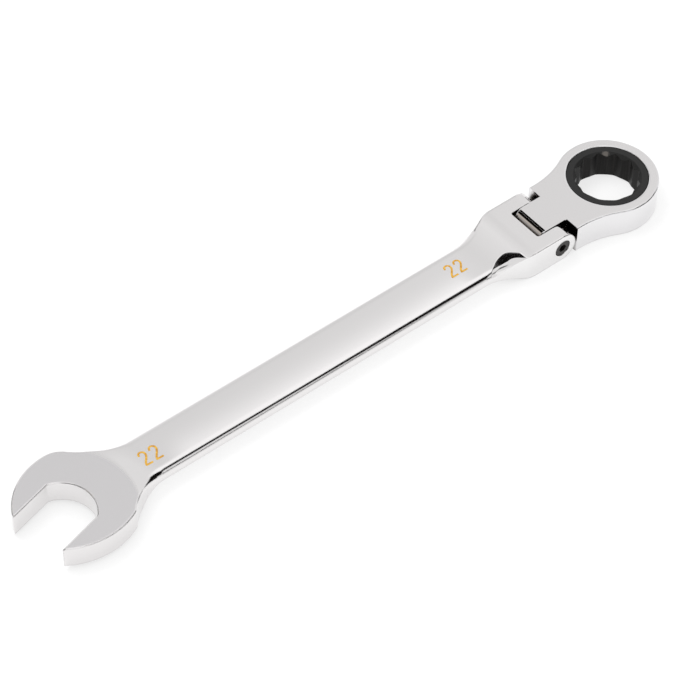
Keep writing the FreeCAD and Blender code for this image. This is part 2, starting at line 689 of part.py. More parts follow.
def make_handle():
    """The forged handle, with its mouth, slot, pin hole and plunger bore."""
    body = new_body("handle_forging")
    plan = new_sketch(body, "handle_plan", "XY_Plane")
    handle_outline(plan)
    pad(body, "handle_pad", plan, "2 * dims.fork_half_height")
    side = new_sketch(body, "handle_side", "XZ_Plane")
    handle_side_cuts(side)
    pocket(body, "handle_thinning", side)
    fade = new_sketch(body, "jaw_section", "XZ_Plane")
    fade.setExpression("AttachmentOffset.Base.x", "-dims.jaw_reach")
    fade.setExpression("AttachmentOffset.Base.z", "dims.jaw_offset")
    jaw_fade(fade)
    groove(body, "jaw_thinning", fade)
    mouth = new_sketch(body, "mouth", "XY_Plane")
    mouth_outline(mouth)
    pocket(body, "mouth_cut", mouth)
    slot = new_sketch(body, "slot", "XY_Plane")
    fork_slot(slot)
    pocket(body, "slot_cut", slot)
    drill_across(body, "pin_hole", "dims.pin_radius + dims.pin_clearance")
    seat = new_sketch(body, "pin_head_seat", "XZ_Plane")
    seat.setExpression("AttachmentOffset.Base.z", "dims.fork_half_width")
    draw_circle(seat, "-dims.pin_reach", 0, "dims.pin_head_radius + dims.pin_clearance")
    sink(body, "pin_head_seat_cut", seat, "dims.pin_recess + dims.pin_head_length")
    drill_along(body, "plunger_bore", f"{FORK_FLOOR} + {PLAY}", SPRING_BACK,
                "dims.plunger_radius + dims.plunger_clearance")
    rounded = doc.addObject("Part::Fillet", "handle_rounded")
    rounded.Base = body
    rounded.Edges = outline_rounds(body.Shape)
    sides = new_body("handle_grinding")
    ground = new_sketch(sides, "ground_sides", "XY_Plane")
    ground_side(ground)
    pad(sides, "ground_pad", ground, f"2 * (dims.fork_half_height + {PLAY})")
    finished = doc.addObject("Part::Cut", "handle")
    finished.Base = rounded
    finished.Tool = sides
    doc.recompute()
    return finished


# ---------------------------------------------------------------------------------------------
# Ratchet head
# ---------------------------------------------------------------------------------------------
def head_outline(sketch):
    """Draw the head from above: round box end, blended neck, shoulders and tongue."""
    radius = value("dims.head_radius")
    blend = value(NECK_BLEND)
    centre = Vector(value(NECK_END), value("dims.neck_half_width") + blend, 0)
    meet = towards(Vector(0, 0, 0), centre, radius)
    tongue_end = "-(dims.pin_reach + dims.tongue_end_radius)"
    draw(sketch, (tongue_end, "-dims.tongue_half_width"),
         line_to(SHOULDER, "-dims.tongue_half_width"),
         line_to(SHOULDER, "-dims.neck_half_width"),
         line_to(NECK_END, "-dims.neck_half_width"),
         arc_to(meet.x, -meet.y, NECK_BLEND, "right"),
         arc_to("dims.head_radius", 0, "dims.head_radius", "left"),
         arc_to(meet.x, meet.y, "dims.head_radius", "left"),
         arc_to(NECK_END, "dims.neck_half_width", NECK_BLEND, "right"),
         line_to(SHOULDER, "dims.neck_half_width"),
         line_to(SHOULDER, "dims.tongue_half_width"),
         line_to(tongue_end, "dims.tongue_half_width"),
         line_to(tongue_end, "-dims.tongue_half_width"))


def tongue_end_cut(sketch):
    """Draw what is cut off the tongue to leave its end round about the pin."""
    radius = value("dims.tongue_end_radius")
    half = value("dims.head_half_height")
    reach = value("dims.pin_reach")
    top_x = -reach - math.sqrt(radius ** 2 - half ** 2)
    end_x = -reach - radius
    draw(sketch, (top_x, "dims.head_half_height"),
         arc_to(end_x, 0, "dims.tongue_end_radius", "left"),
         arc_to(top_x, "-dims.head_half_height", "dims.tongue_end_radius", "left"),
         line_to(top_x, -half - PLAY),
         line_to(end_x - PLAY, -half - PLAY),
         line_to(end_x - PLAY, half + PLAY),
         line_to(top_x, half + PLAY),
         line_to(top_x, "dims.head_half_height"))


def head_bore(sketch):
    """Draw half the stepped bore: the lip's hole, the rim's room and the ring's groove."""
    lip = "dims.gear_face_radius + dims.bore_clearance"
    rim = "dims.gear_rim_radius + dims.rim_clearance"
    seat = "dims.gear_tail_radius + dims.ring_tail_clearance + dims.ring_width"
    groove_radius = f"{seat} + dims.groove_clearance"
    shelf = "dims.gear_rim_half + dims.axial_play"
    groove_top = f"-({shelf}) + dims.groove_clearance"
    groove_bottom = f"-({shelf}) - dims.ring_thickness - dims.groove_clearance"
    open_end = value("dims.head_half_height") + PLAY
    draw(sketch, (0, open_end), line_to(lip, open_end), line_to(lip, shelf),
         line_to(rim, shelf), line_to(rim, groove_top), line_to(groove_radius, groove_top),
         line_to(groove_radius, groove_bottom), line_to(rim, groove_bottom),
         line_to(rim, -open_end), line_to(0, -open_end), line_to(0, open_end))


def pawl_slot(sketch):
    """Draw the slot behind the gear that guides the pawl."""
    half = "(dims.pawl_half_width + dims.pawl_clearance)"
    corner = "dims.slot_corner"
    mouth = f"-dims.gear_rim_radius + {PLAY}"
    draw(sketch, (mouth, half),
         line_to(f"-{SLOT_BACK} + {corner}", half),
         arc_to(f"-{SLOT_BACK}", f"{half} - {corner}", corner, "left"),
         line_to(f"-{SLOT_BACK}", f"-{half} + {corner}"),
         arc_to(f"-{SLOT_BACK} + {corner}", f"-{half}", corner, "left"),
         line_to(mouth, f"-{half}"),
         line_to(mouth, half))


def make_head():
    """The ratchet head's housing, with its bore, pawl slot, spring hole and pin hole."""
    body = new_body("ratchet_head")
    plan = new_sketch(body, "head_plan", "XY_Plane")
    head_outline(plan)
    blank = pad(body, "head_pad", plan, "2 * dims.head_half_height")
    shoulder_x = value(SHOULDER)

    def outer_edge(edge):
        """Whether an edge runs round the head or its neck, above or below."""
        middle = edge.valueAt((edge.FirstParameter + edge.LastParameter) / 2)
        flat = abs(edge.Vertexes[0].Z - edge.Vertexes[-1].Z) < NOTHING
        return flat and middle.x > shoulder_x + TOUCH

    round_edges(body, "head_rounds", blank, outer_edge, "dims.head_edge")
    end_cut = new_sketch(body, "tongue_end", "XZ_Plane")
    tongue_end_cut(end_cut)
    rounded = pocket(body, "tongue_end_cut", end_cut)
    end_x = -value("dims.pin_reach + dims.tongue_end_radius")

    def end_arc(edge):
        """Whether an edge runs round the side of the tongue's end."""
        middle = edge.valueAt((edge.FirstParameter + edge.LastParameter) / 2)
        at_end = middle.x < end_x + value("dims.tongue_corner")
        return at_end and abs(edge.Vertexes[0].Y - edge.Vertexes[-1].Y) < NOTHING

    round_edges(body, "tongue_rounds", rounded, end_arc, "dims.tongue_corner")
    bore = new_sketch(body, "bore", "XZ_Plane")
    head_bore(bore)
    groove(body, "bore_cut", bore, "Z_Axis")
    slot = new_sketch(body, "pawl_slot", "XY_Plane")
    pawl_slot(slot)
    pocket(body, "pawl_slot_cut", slot, "2 * (dims.pawl_half_height + dims.pawl_clearance)")
    drill_along(body, "spring_hole", f"-{SLOT_BACK} + {PLAY}", PAWL_SPRING_BACK,
                PAWL_SPRING_HOLE)
    drill_across(body, "tongue_hole", "dims.pin_radius + dims.pin_clearance")
    return body


# ---------------------------------------------------------------------------------------------
# Drive gear, retaining ring, pawl
# ---------------------------------------------------------------------------------------------
def make_gear():
    """The drive gear: two journals, a rim of fine saw teeth and the twelve-point hole."""
    body = new_body("drive_gear")
    section = new_sketch(body, "gear_section", "XZ_Plane")
    face = "dims.gear_face_radius"
    tail = "dims.gear_tail_radius"
    rim = "dims.gear_rim_radius"
    half = "dims.head_half_height"
    rim_half = "dims.gear_rim_half"
    edge = "dims.gear_edge"
    draw(section, (0, f"-{half}"), line_to(f"{tail} - {edge}", f"-{half}"),
         line_to(tail, f"-{half} + {edge}"), line_to(tail, f"-{rim_half}"),
         line_to(rim, f"-{rim_half}"), line_to(rim, rim_half), line_to(face, rim_half),
         line_to(face, f"{half} - {edge}"), line_to(f"{face} - {edge}", half),
         line_to(0, half), line_to(0, f"-{half}"))
    turned(body, "gear_blank", section, "Z_Axis")
    star = new_sketch(body, "six_point", "XY_Plane")
    start, steps = hexagon_steps(value("dims.drive_flats"), value("dims.drive_corner_round"),
                                 value("dims.drive_turn"))
    draw(star, start, *steps)
    six_point = pocket(body, "six_point_cut", star)
    twelve_point = ring_of(body, "twelve_point_cut", six_point, 2, 30.0)
    inner_radius = value("dims.drive_flats") / 2 / math.cos(math.radians(15))

    def inner_tip(corner):
        """Whether an edge is one of the points between the hole's corners."""
        start = corner.Vertexes[0]
        upright = abs(start.Z - corner.Vertexes[-1].Z) > TOUCH
        return upright and abs(math.hypot(start.X, start.Y) - inner_radius) < TOUCH

    round_edges(body, "tip_rounds", twelve_point, inner_tip, "dims.drive_tip_round")
    lead_in = new_sketch(body, "lead_in", "XZ_Plane")
    cone = "dims.lead_in_radius"
    for sign in ("", "-"):
        draw(lead_in, (0, f"{sign}{half}"), line_to(cone, f"{sign}{half}"),
             line_to(0, f"{sign}({half} - {cone} * tan(dims.lead_in_angle))"),
             line_to(0, f"{sign}{half}"))
    groove(body, "lead_in_cut", lead_in, "Z_Axis")
    gap = new_sketch(body, "tooth_gap", "XY_Plane")
    _, flank_top, root, ramp_top = tooth_line(0, 2, TOOTH_PHASE, 0)[:4]
    outside = 1 + PLAY / value(rim)
    draw(gap, (root.x, root.y), line_to(ramp_top.x, ramp_top.y),
         line_to(ramp_top.x * outside, ramp_top.y * outside),
         line_to(flank_top.x * outside, flank_top.y * outside),
         line_to(flank_top.x, flank_top.y), line_to(root.x, root.y))
    tooth_gap = pocket(body, "tooth_gap_cut", gap, f"2 * {rim_half} + {PLAY}")
    ring_of(body, "teeth", tooth_gap, "dims.tooth_count")
    return body


def make_retaining_ring():
    """The open spring ring that keeps the gear in the head from below."""
    body = new_body("retaining_ring")
    section = new_sketch(body, "ring_section", "XZ_Plane")
    inner = "dims.gear_tail_radius + dims.ring_tail_clearance"
    top = "-(dims.gear_rim_half + dims.axial_play)"
    draw_box(section, inner, f"{top} - dims.ring_thickness", f"{inner} + dims.ring_width", top)
    turned(body, "ring", section, "Z_Axis", "360 - dims.ring_gap_angle")
    body.setExpression("Placement.Rotation.Angle", "dims.ring_gap_angle / 2")
    return body


def pawl_teeth(sketch):
    """Draw what is cut from the pawl's front: the gear's own teeth, half a click further out."""
    pitch = value(TOOTH_PITCH)
    rim = value("dims.gear_rim_radius")
    reach = math.degrees(math.atan2(value("dims.pawl_half_width") + PLAY, rim))
    teeth = 2 * math.ceil(reach / pitch) + 1
    first = round(180 / pitch) - teeth // 2
    back_off = Vector(value(HALF_CLICK), 0, 0)
    points = [point - back_off
              for point in tooth_line(first, teeth, TOOTH_PHASE + pitch / 2,
                                      value("dims.pawl_clearance"))]
    start, end = points[0], points[-1]
    inside = 3 * PLAY - rim
    draw(sketch, (start.x, start.y), *[line_to(point.x, point.y) for point in points[1:]],
         line_to(inside, end.y), line_to(inside, start.y), line_to(start.x, start.y))


def make_pawl():
    """The pawl: a block that slides in its slot, with saw teeth that face the gear."""
    body = new_body("pawl")
    plan = new_sketch(body, "pawl_plan", "XY_Plane")
    front = f"-{PAWL_FRONT} + {PLAY}"
    back = f"-{PAWL_BACK}"
    half = "dims.pawl_half_width"
    edge = "dims.pawl_edge"
    draw(plan, (front, half), line_to(f"{back} + {edge}", half),
         line_to(back, f"{half} - {edge}"), line_to(back, f"-{half} + {edge}"),
         line_to(f"{back} + {edge}", f"-{half}"), line_to(front, f"-{half}"),
         line_to(front, half))
    pad(body, "pawl_pad", plan, "2 * dims.pawl_half_height")
    teeth = new_sketch(body, "pawl_teeth", "XY_Plane")
    pawl_teeth(teeth)
    pocket(body, "pawl_teeth_cut", teeth)
    drill_along(body, "pawl_spring_hole", f"{back} - {PLAY}", PAWL_SPRING_FRONT,
                PAWL_SPRING_HOLE)
    return body


# ---------------------------------------------------------------------------------------------
# Hinge: pin, friction plunger and both springs
# ---------------------------------------------------------------------------------------------
def make_hinge_pin():
    """The headed pin across the fork, with a hexagon socket in its head."""
    body = new_body("hinge_pin")
    section = new_sketch(body, "pin_section", "XY_Plane")
    head = "dims.pin_head_radius"
    shank = "dims.pin_radius"
    edge = "dims.pin_edge"
    under_head = f"-{PIN_END} + dims.pin_head_length"
    draw(section, (0, f"-{PIN_END}"), line_to(f"{head} - {edge}", f"-{PIN_END}"),
         line_to(head, f"-{PIN_END} + {edge}"), line_to(head, under_head),
         line_to(shank, under_head), line_to(shank, f"{PIN_END} - {edge}"),
         line_to(f"{shank} - {edge}", PIN_END), line_to(0, PIN_END), line_to(0, f"-{PIN_END}"))
    turned(body, "pin_turning", section, "Y_Axis")
    socket = new_sketch(body, "pin_socket", "XZ_Plane")
    socket.setExpression("AttachmentOffset.Base.z", PIN_END)
    start, steps = hexagon_steps(value("dims.pin_socket_flats"), 0, 0)
    draw(socket, start, *steps)
    sink(body, "pin_socket_cut", socket, "dims.pin_socket_depth")
    body.setExpression("Placement.Base.x", "-dims.pin_reach")
    return body


def make_friction_plunger():
    """The plunger that rubs the tongue's round end, hollow behind for its spring."""
    body = new_body("friction_plunger")
    section = new_sketch(body, "plunger_section", "XZ_Plane")
    radius = "dims.plunger_radius"
    nose = "dims.plunger_nose"
    hollow = "(dims.plunger_radius - dims.plunger_wall)"
    draw(section, (PLUNGER_FRONT, 0), line_to(PLUNGER_FRONT, f"{radius} - {nose}"),
         line_to(f"{PLUNGER_FRONT} - {nose}", radius), line_to(PLUNGER_BACK, radius),
         line_to(PLUNGER_BACK, hollow), line_to(SPRING_FRONT, hollow),
         line_to(SPRING_FRONT, 0), line_to(PLUNGER_FRONT, 0))
    turned(body, "plunger_turning", section, "X_Axis")
    return body


def make_spring(label, outer_radius, wire, turns, front, back):
    """A coil spring along X that touches what is in front of it and behind it."""
    centre_radius = f"{outer_radius} - {wire} / 2"
    helix = doc.addObject("Part::Helix", f"{label}_coil")
    bind(helix, "Radius", centre_radius)
    bind(helix, "Height", f"{front} - {back} - {wire}")
    bind(helix, "Pitch", f"({front} - {back} - {wire}) / {turns}")
    section = doc.addObject("Sketcher::SketchObject", f"{label}_wire")
    section.Placement.Rotation = FreeCAD.Rotation(Vector(1, 0, 0), 90)
    draw_circle(section, centre_radius, 0, f"{wire} / 2")
    doc.recompute()
    coil = doc.addObject("Part::Sweep", label)
    coil.Sections = [section]
    coil.Spine = (helix, [f"Edge{number + 1}" for number in range(len(helix.Shape.Edges))])
    coil.Solid = True
    coil.Frenet = True
    coil.Placement.Rotation = FreeCAD.Rotation(Vector(0, 1, 0), 90)
    coil.setExpression("Placement.Base.x", f"{back} + {wire} / 2")
    doc.recompute()
    return coil


def make_pawl_spring():
    """The spring between the pawl and the bottom of its hole in the head."""
    return make_spring("pawl_spring", "dims.pawl_spring_radius", "dims.pawl_spring_wire",
                       "dims.pawl_spring_turns", PAWL_SPRING_FRONT, PAWL_SPRING_BACK)


def make_friction_spring():
    """The spring between the friction plunger and the bottom of its bore."""
    radius = "(dims.plunger_radius - dims.plunger_wall - dims.friction_spring_side)"
    return make_spring("friction_spring", radius, "dims.friction_spring_wire",
                       "dims.friction_spring_turns", SPRING_FRONT, SPRING_BACK)


# ---------------------------------------------------------------------------------------------
# Build, check and write
# ---------------------------------------------------------------------------------------------
def main():
    """Build every sub-part, check the document and write one file for each."""
    parts = [make_handle(), make_hinge_pin(), make_friction_plunger(), make_friction_spring(),
             make_head(), make_gear(), make_retaining_ring(), make_pawl(), make_pawl_spring()]
    doc.recompute()
    for item in doc.Objects:
        if "Invalid" in item.State or "Error" in item.State:
            raise RuntimeError(f"{item.Label}: {item.State}")
    for item in parts:
        if item.Shape.isNull() or not item.Shape.isValid() or not item.Shape.Solids:
            raise RuntimeError(f"{item.Label}: no valid solid")
    os.makedirs("parts", exist_ok=True)
    for item in parts:
        item.Shape.exportStep(f"parts/{item.Label}.step")
        box = item.Shape.BoundBox
        print(f"{item.Label}: {item.Shape.Volume:.1f} mm3, {len(item.Shape.Solids)} solid, "
              f"x {box.XMin:.2f} to {box.XMax:.2f}, y {box.YMin:.2f} to {box.YMax:.2f}, "
              f"z {box.ZMin:.2f} to {box.ZMax:.2f}")


main()
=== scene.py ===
"""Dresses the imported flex-head ratcheting combination wrench and stands it in a studio.

Every forged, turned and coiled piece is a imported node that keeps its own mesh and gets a
procedural finish. The painted size numbers are made here, as strokes laid on the shank. The
studio is a pale floor, one soft lamp, and an environment of light and dark panels that only
the bright metal sees.
"""

import logging
import math
from dataclasses import dataclass, field
from enum import Enum
from typing import Any, Sequence

import bpy
from mathutils import Matrix, Vector


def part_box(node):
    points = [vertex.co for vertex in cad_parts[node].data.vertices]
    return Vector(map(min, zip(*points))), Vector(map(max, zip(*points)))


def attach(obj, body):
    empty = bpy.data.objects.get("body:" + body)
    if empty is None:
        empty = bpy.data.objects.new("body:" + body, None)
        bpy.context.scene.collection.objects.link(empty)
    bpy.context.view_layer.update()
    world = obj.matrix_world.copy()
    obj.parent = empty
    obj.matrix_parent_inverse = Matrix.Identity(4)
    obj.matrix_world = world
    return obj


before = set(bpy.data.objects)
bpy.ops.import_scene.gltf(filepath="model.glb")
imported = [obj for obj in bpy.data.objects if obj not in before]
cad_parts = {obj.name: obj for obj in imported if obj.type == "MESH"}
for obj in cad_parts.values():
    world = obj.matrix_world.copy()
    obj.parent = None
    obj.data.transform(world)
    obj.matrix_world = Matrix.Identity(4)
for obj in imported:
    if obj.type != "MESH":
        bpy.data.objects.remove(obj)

LOG = logging.getLogger("ratchet_wrench")
MM = 0.001
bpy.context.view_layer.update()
# Where the drop onto the shank begins, above the origin, and how far it reaches, in metres.
RAY_START = 0.05
RAY_LENGTH = 0.1
WHITE = (1.0, 1.0, 1.0, 1.0)

Tree = bpy.types.NodeTree
Node = bpy.types.Node
Socket = bpy.types.NodeSocket


# ---------------------------------------------------------------------------------------------
# Small helpers
# ---------------------------------------------------------------------------------------------
def linear(colour: str) -> tuple[float, float, float, float]:
    """Turn an sRGB hex colour into the linear values that shaders take.

    Args:
        colour: A colour such as "#d0d0d2".

    Returns:
        Linear red, green and blue, and an alpha of one.
    """
    channels = []
    for start in (1, 3, 5):
        value = int(colour[start:start + 2], 16) / 255.0
        channels.append(value / 12.92 if value <= 0.04045 else ((value + 0.055) / 1.055) ** 2.4)
    return channels[0], channels[1], channels[2], 1.0


def add_node(tree: Tree, kind: str, inputs: dict[Any, Any] | None = None,
             **settings: Any) -> Node:
    """Add a node, with its settings, its input values and its links.

    A Mix node of colours takes the second colour's share at 0 and its colours at 6 and 7, and
    gives the mixed one at 2.

    Args:
        tree: The node tree that gets the node.
        kind: The node's type name.
        inputs: What goes into each input, by its name or number. A socket is linked, and
            anything else becomes the input's own value.
        **settings: Properties of the node, such as its operation.

    Returns:
        The new node.
    """
    node = tree.nodes.new(kind)
    for name, value in settings.items():
        setattr(node, name, value)
    for key, value in (inputs or {}).items():
        socket = node.inputs[key]
        if isinstance(value, Socket):
            tree.links.new(value, socket)
        else:
            socket.default_value = value
    return node


def direction(azimuth: float, elevation: float) -> Vector:
    """The unit vector towards an azimuth and an elevation, both in degrees."""
    turn, rise = math.radians(azimuth), math.radians(elevation)
    return Vector((math.cos(rise) * math.cos(turn), math.cos(rise) * math.sin(turn),
                   math.sin(rise)))


def blank_material(name: str) -> tuple[bpy.types.Material, Tree]:
    """Make a material whose node tree is empty.

    Args:
        name: The material's name.

    Returns:
        The material and its node tree.
    """
    material = bpy.data.materials.new(name)
    material.use_nodes = True
    material.node_tree.nodes.clear()
    return material, material.node_tree


# ---------------------------------------------------------------------------------------------
# Finishes
# ---------------------------------------------------------------------------------------------
class Grade(Enum):
    """How finely a plated face was worked before it went into the bath."""

    POLISHED = 0.06
    BELTED = 0.15
    BLASTED = 0.30


@dataclass(frozen=True)
class ChromePlate:
    """Chromium plate on a drop forging: mirror bright walls, softer flat faces.

    The walls and the small rounds along the edges were buffed on felt wheels, so they mirror the
    studio sharply, and an edge shows as a thin dark or bright line. The flat faces were belted
    first, so the plate over them spreads the light into an even pale grey. Where two pieces
    nearly touch, ambient occlusion mixes a dull brown into the plate: painted shade. A belt's
    scratches are about 0.1 mm apart, and the grain is drawn three times coarser so that it shows.
    """

    name: str
    plate: str = "#e6e4e4"
    # Painted shade: the dull brown that ambient occlusion mixes in where pieces nearly touch.
    painted_gap_shade_colour: str = "#4a423b"
    edge_mm: float = 0.95
    gap_edge_mm: float = 0.3
    gap_mm: float = 4.0
    grain_mm: float = 0.35
    grain_height: float = 0.0012
    grain_roughness: float = 0.02
    grain_tone: tuple[float, float] = (0.03, 0.985)
    wave_mm: float = 9.0
    wave_height: float = 0.010
    level_from: tuple[float, float] = (0.985, 0.999)
    unrounded: tuple[float, float] = (0.97, 0.995)
    gap_shade: tuple[float, float] = (0.48, 0.2)
    gap_roughness: float = 0.15

    def lean(self, tree: Tree, at: Node, facing: Node, flat: Socket) -> Socket | None:
        """How the worked surface leans away from the forging's own faces.

        Args:
            tree: The plate's node tree; not used here.
            at: Node with the place on the piece as X, Y and Z; not used here.
            facing: Node with the face's direction as X, Y and Z; not used here.
            flat: 1 on the flat faces and 0 on the walls; not used here.

        Returns:
            A vector in the piece's own frame that is added to its direction, or None.
        """
        return None

    def tone(self, tree: Tree, at: Node, facing: Node, flat: Socket, colour: Any,
             roughness: Socket) -> tuple[Any, Any]:
        """Change the plate's colour and roughness, for a piece whose faces differ.

        Args:
            tree: The plate's node tree; not used here.
            at: Node with the place on the piece as X, Y and Z; not used here.
            facing: Node with the face's direction as X, Y and Z; not used here.
            flat: 1 on the flat faces and 0 on the walls; not used here.
            colour: The plate's colour, as linear values or a socket.
            roughness: The plate's roughness.

        Returns:
            The colour and the roughness, changed or not.
        """
        return colour, roughness

    def crisp(self, tree: Tree, at: Node) -> Any:
        """Share of crisp edges, which the felt wheel didn't reach.

        Args:
            tree: The plate's node tree; not used here.
            at: Node with the place on the piece as X, Y and Z; not used here.

        Returns:
            1 in the joint and 0 elsewhere, as a number or a socket.
        """
        return 0.0

    def make(self) -> bpy.types.Material:
        """Build the plate's node tree.

        Returns:
            The finished material.
        """
        material, tree = blank_material(self.name)
        place = add_node(tree, "ShaderNodeTexCoord")
        at = add_node(tree, "ShaderNodeSeparateXYZ", {0: place.outputs["Object"]})
        facing = add_node(tree, "ShaderNodeSeparateXYZ", {0: place.outputs["Normal"]})
        flat = add_node(tree, "ShaderNodeMapRange", {
            "Value": add_node(tree, "ShaderNodeMath", {
                0: facing.outputs["Z"],
            }, operation="ABSOLUTE").outputs[0],
            "From Min": self.level_from[0], "From Max": self.level_from[1],
        }, interpolation_type="SMOOTHSTEP").outputs["Result"]

        grain = add_node(tree, "ShaderNodeTexNoise",
                         {"Vector": place.outputs["Object"], "Scale": 1 / (self.grain_mm * MM),
                          "Detail": 2.0, "Roughness": 0.6})
        wave = add_node(tree, "ShaderNodeTexNoise",
                        {"Vector": place.outputs["Object"], "Scale": 1 / (self.wave_mm * MM),
                         "Detail": 1.0})
        radius = add_node(tree, "ShaderNodeMath", {
            0: self.crisp(tree, at), 1: (self.gap_edge_mm - self.edge_mm) * MM,
            2: self.edge_mm * MM,
        }, operation="MULTIPLY_ADD").outputs[0]
        rounded = add_node(tree, "ShaderNodeBevel", {"Radius": radius}, samples=8)
        turned = add_node(tree, "ShaderNodeVectorTransform", {0: rounded.outputs[0]},
                          vector_type="NORMAL", convert_from="WORLD", convert_to="OBJECT")
        along_face = add_node(tree, "ShaderNodeVectorMath",
                              {0: turned.outputs[0], 1: place.outputs["Normal"]},
                              operation="DOT_PRODUCT").outputs["Value"]
        flat = add_node(tree, "ShaderNodeMath", {
            0: flat,
            1: add_node(tree, "ShaderNodeMapRange", {
                "Value": along_face, "From Min": self.unrounded[0], "From Max": self.unrounded[1],
            }, interpolation_type="SMOOTHSTEP").outputs["Result"],
        }, operation="MULTIPLY").outputs[0]
        roughness = add_node(tree, "ShaderNodeMath", {
            0: flat, 1: Grade.BELTED.value - Grade.POLISHED.value, 2: Grade.POLISHED.value,
        }, operation="MULTIPLY_ADD").outputs[0]
        roughness = add_node(tree, "ShaderNodeMath", {
            0: grain.outputs["Fac"], 1: self.grain_roughness, 2: roughness,
        }, operation="MULTIPLY_ADD").outputs[0]
        colour, roughness = self.tone(tree, at, facing, flat, linear(self.plate), roughness)
        mottled = add_node(tree, "ShaderNodeHueSaturation", {
            "Color": colour,
            "Value": add_node(tree, "ShaderNodeMath", {
                0: grain.outputs["Fac"], 1: self.grain_tone[0], 2: self.grain_tone[1],
            }, operation="MULTIPLY_ADD").outputs[0],
        })
        # Painted shade: where ambient occlusion finds close surfaces, the plate turns dull brown.
        open_share = add_node(tree, "ShaderNodeAmbientOcclusion",
                              {"Distance": self.gap_mm * MM}, samples=8).outputs["AO"]
        painted_gap_shade = add_node(tree, "ShaderNodeMapRange", {
            "Value": open_share, "From Min": self.gap_shade[0], "From Max": self.gap_shade[1],
        }, interpolation_type="SMOOTHSTEP").outputs["Result"]
        colour = add_node(tree, "ShaderNodeMix", {
            0: painted_gap_shade, 6: mottled.outputs[0], 7: linear(self.painted_gap_shade_colour),
        }, data_type="RGBA").outputs[2]
        roughness = add_node(tree, "ShaderNodeMath", {
            0: painted_gap_shade, 1: self.gap_roughness, 2: roughness,
        }, operation="MULTIPLY_ADD").outputs[0]

        normal = rounded.outputs[0]
        lean = self.lean(tree, at, facing, flat)
        if lean is not None:
            world_lean = add_node(tree, "ShaderNodeVectorTransform", {0: lean},
                                  vector_type="VECTOR", convert_from="OBJECT",
                                  convert_to="WORLD").outputs[0]
            added = add_node(tree, "ShaderNodeVectorMath", {0: normal, 1: world_lean},
                             operation="ADD").outputs[0]
            normal = add_node(tree, "ShaderNodeVectorMath", {0: added},
                              operation="NORMALIZE").outputs[0]
        height = add_node(tree, "ShaderNodeMath", {
            0: wave.outputs["Fac"], 1: self.wave_height * MM,
        }, operation="MULTIPLY").outputs[0]
        fine = add_node(tree, "ShaderNodeMath", {
            0: add_node(tree, "ShaderNodeMath", {
                0: grain.outputs["Fac"], 1: flat,
            }, operation="MULTIPLY").outputs[0],
            1: self.grain_height * MM,
        }, operation="MULTIPLY").outputs[0]
        bump = add_node(tree, "ShaderNodeBump", {
            "Strength": 1.0, "Distance": 1.0, "Normal": normal,
            "Height": add_node(tree, "ShaderNodeMath", {
                0: height, 1: fine,
            }, operation="ADD").outputs[0],
        })
        shader = add_node(tree, "ShaderNodeBsdfPrincipled",
                          {"Base Color": colour, "Metallic": 1.0,
                           "Roughness": roughness, "Normal": bump.outputs[0]})
        add_node(tree, "ShaderNodeOutputMaterial", {"Surface": shader.outputs[0]})
        return material


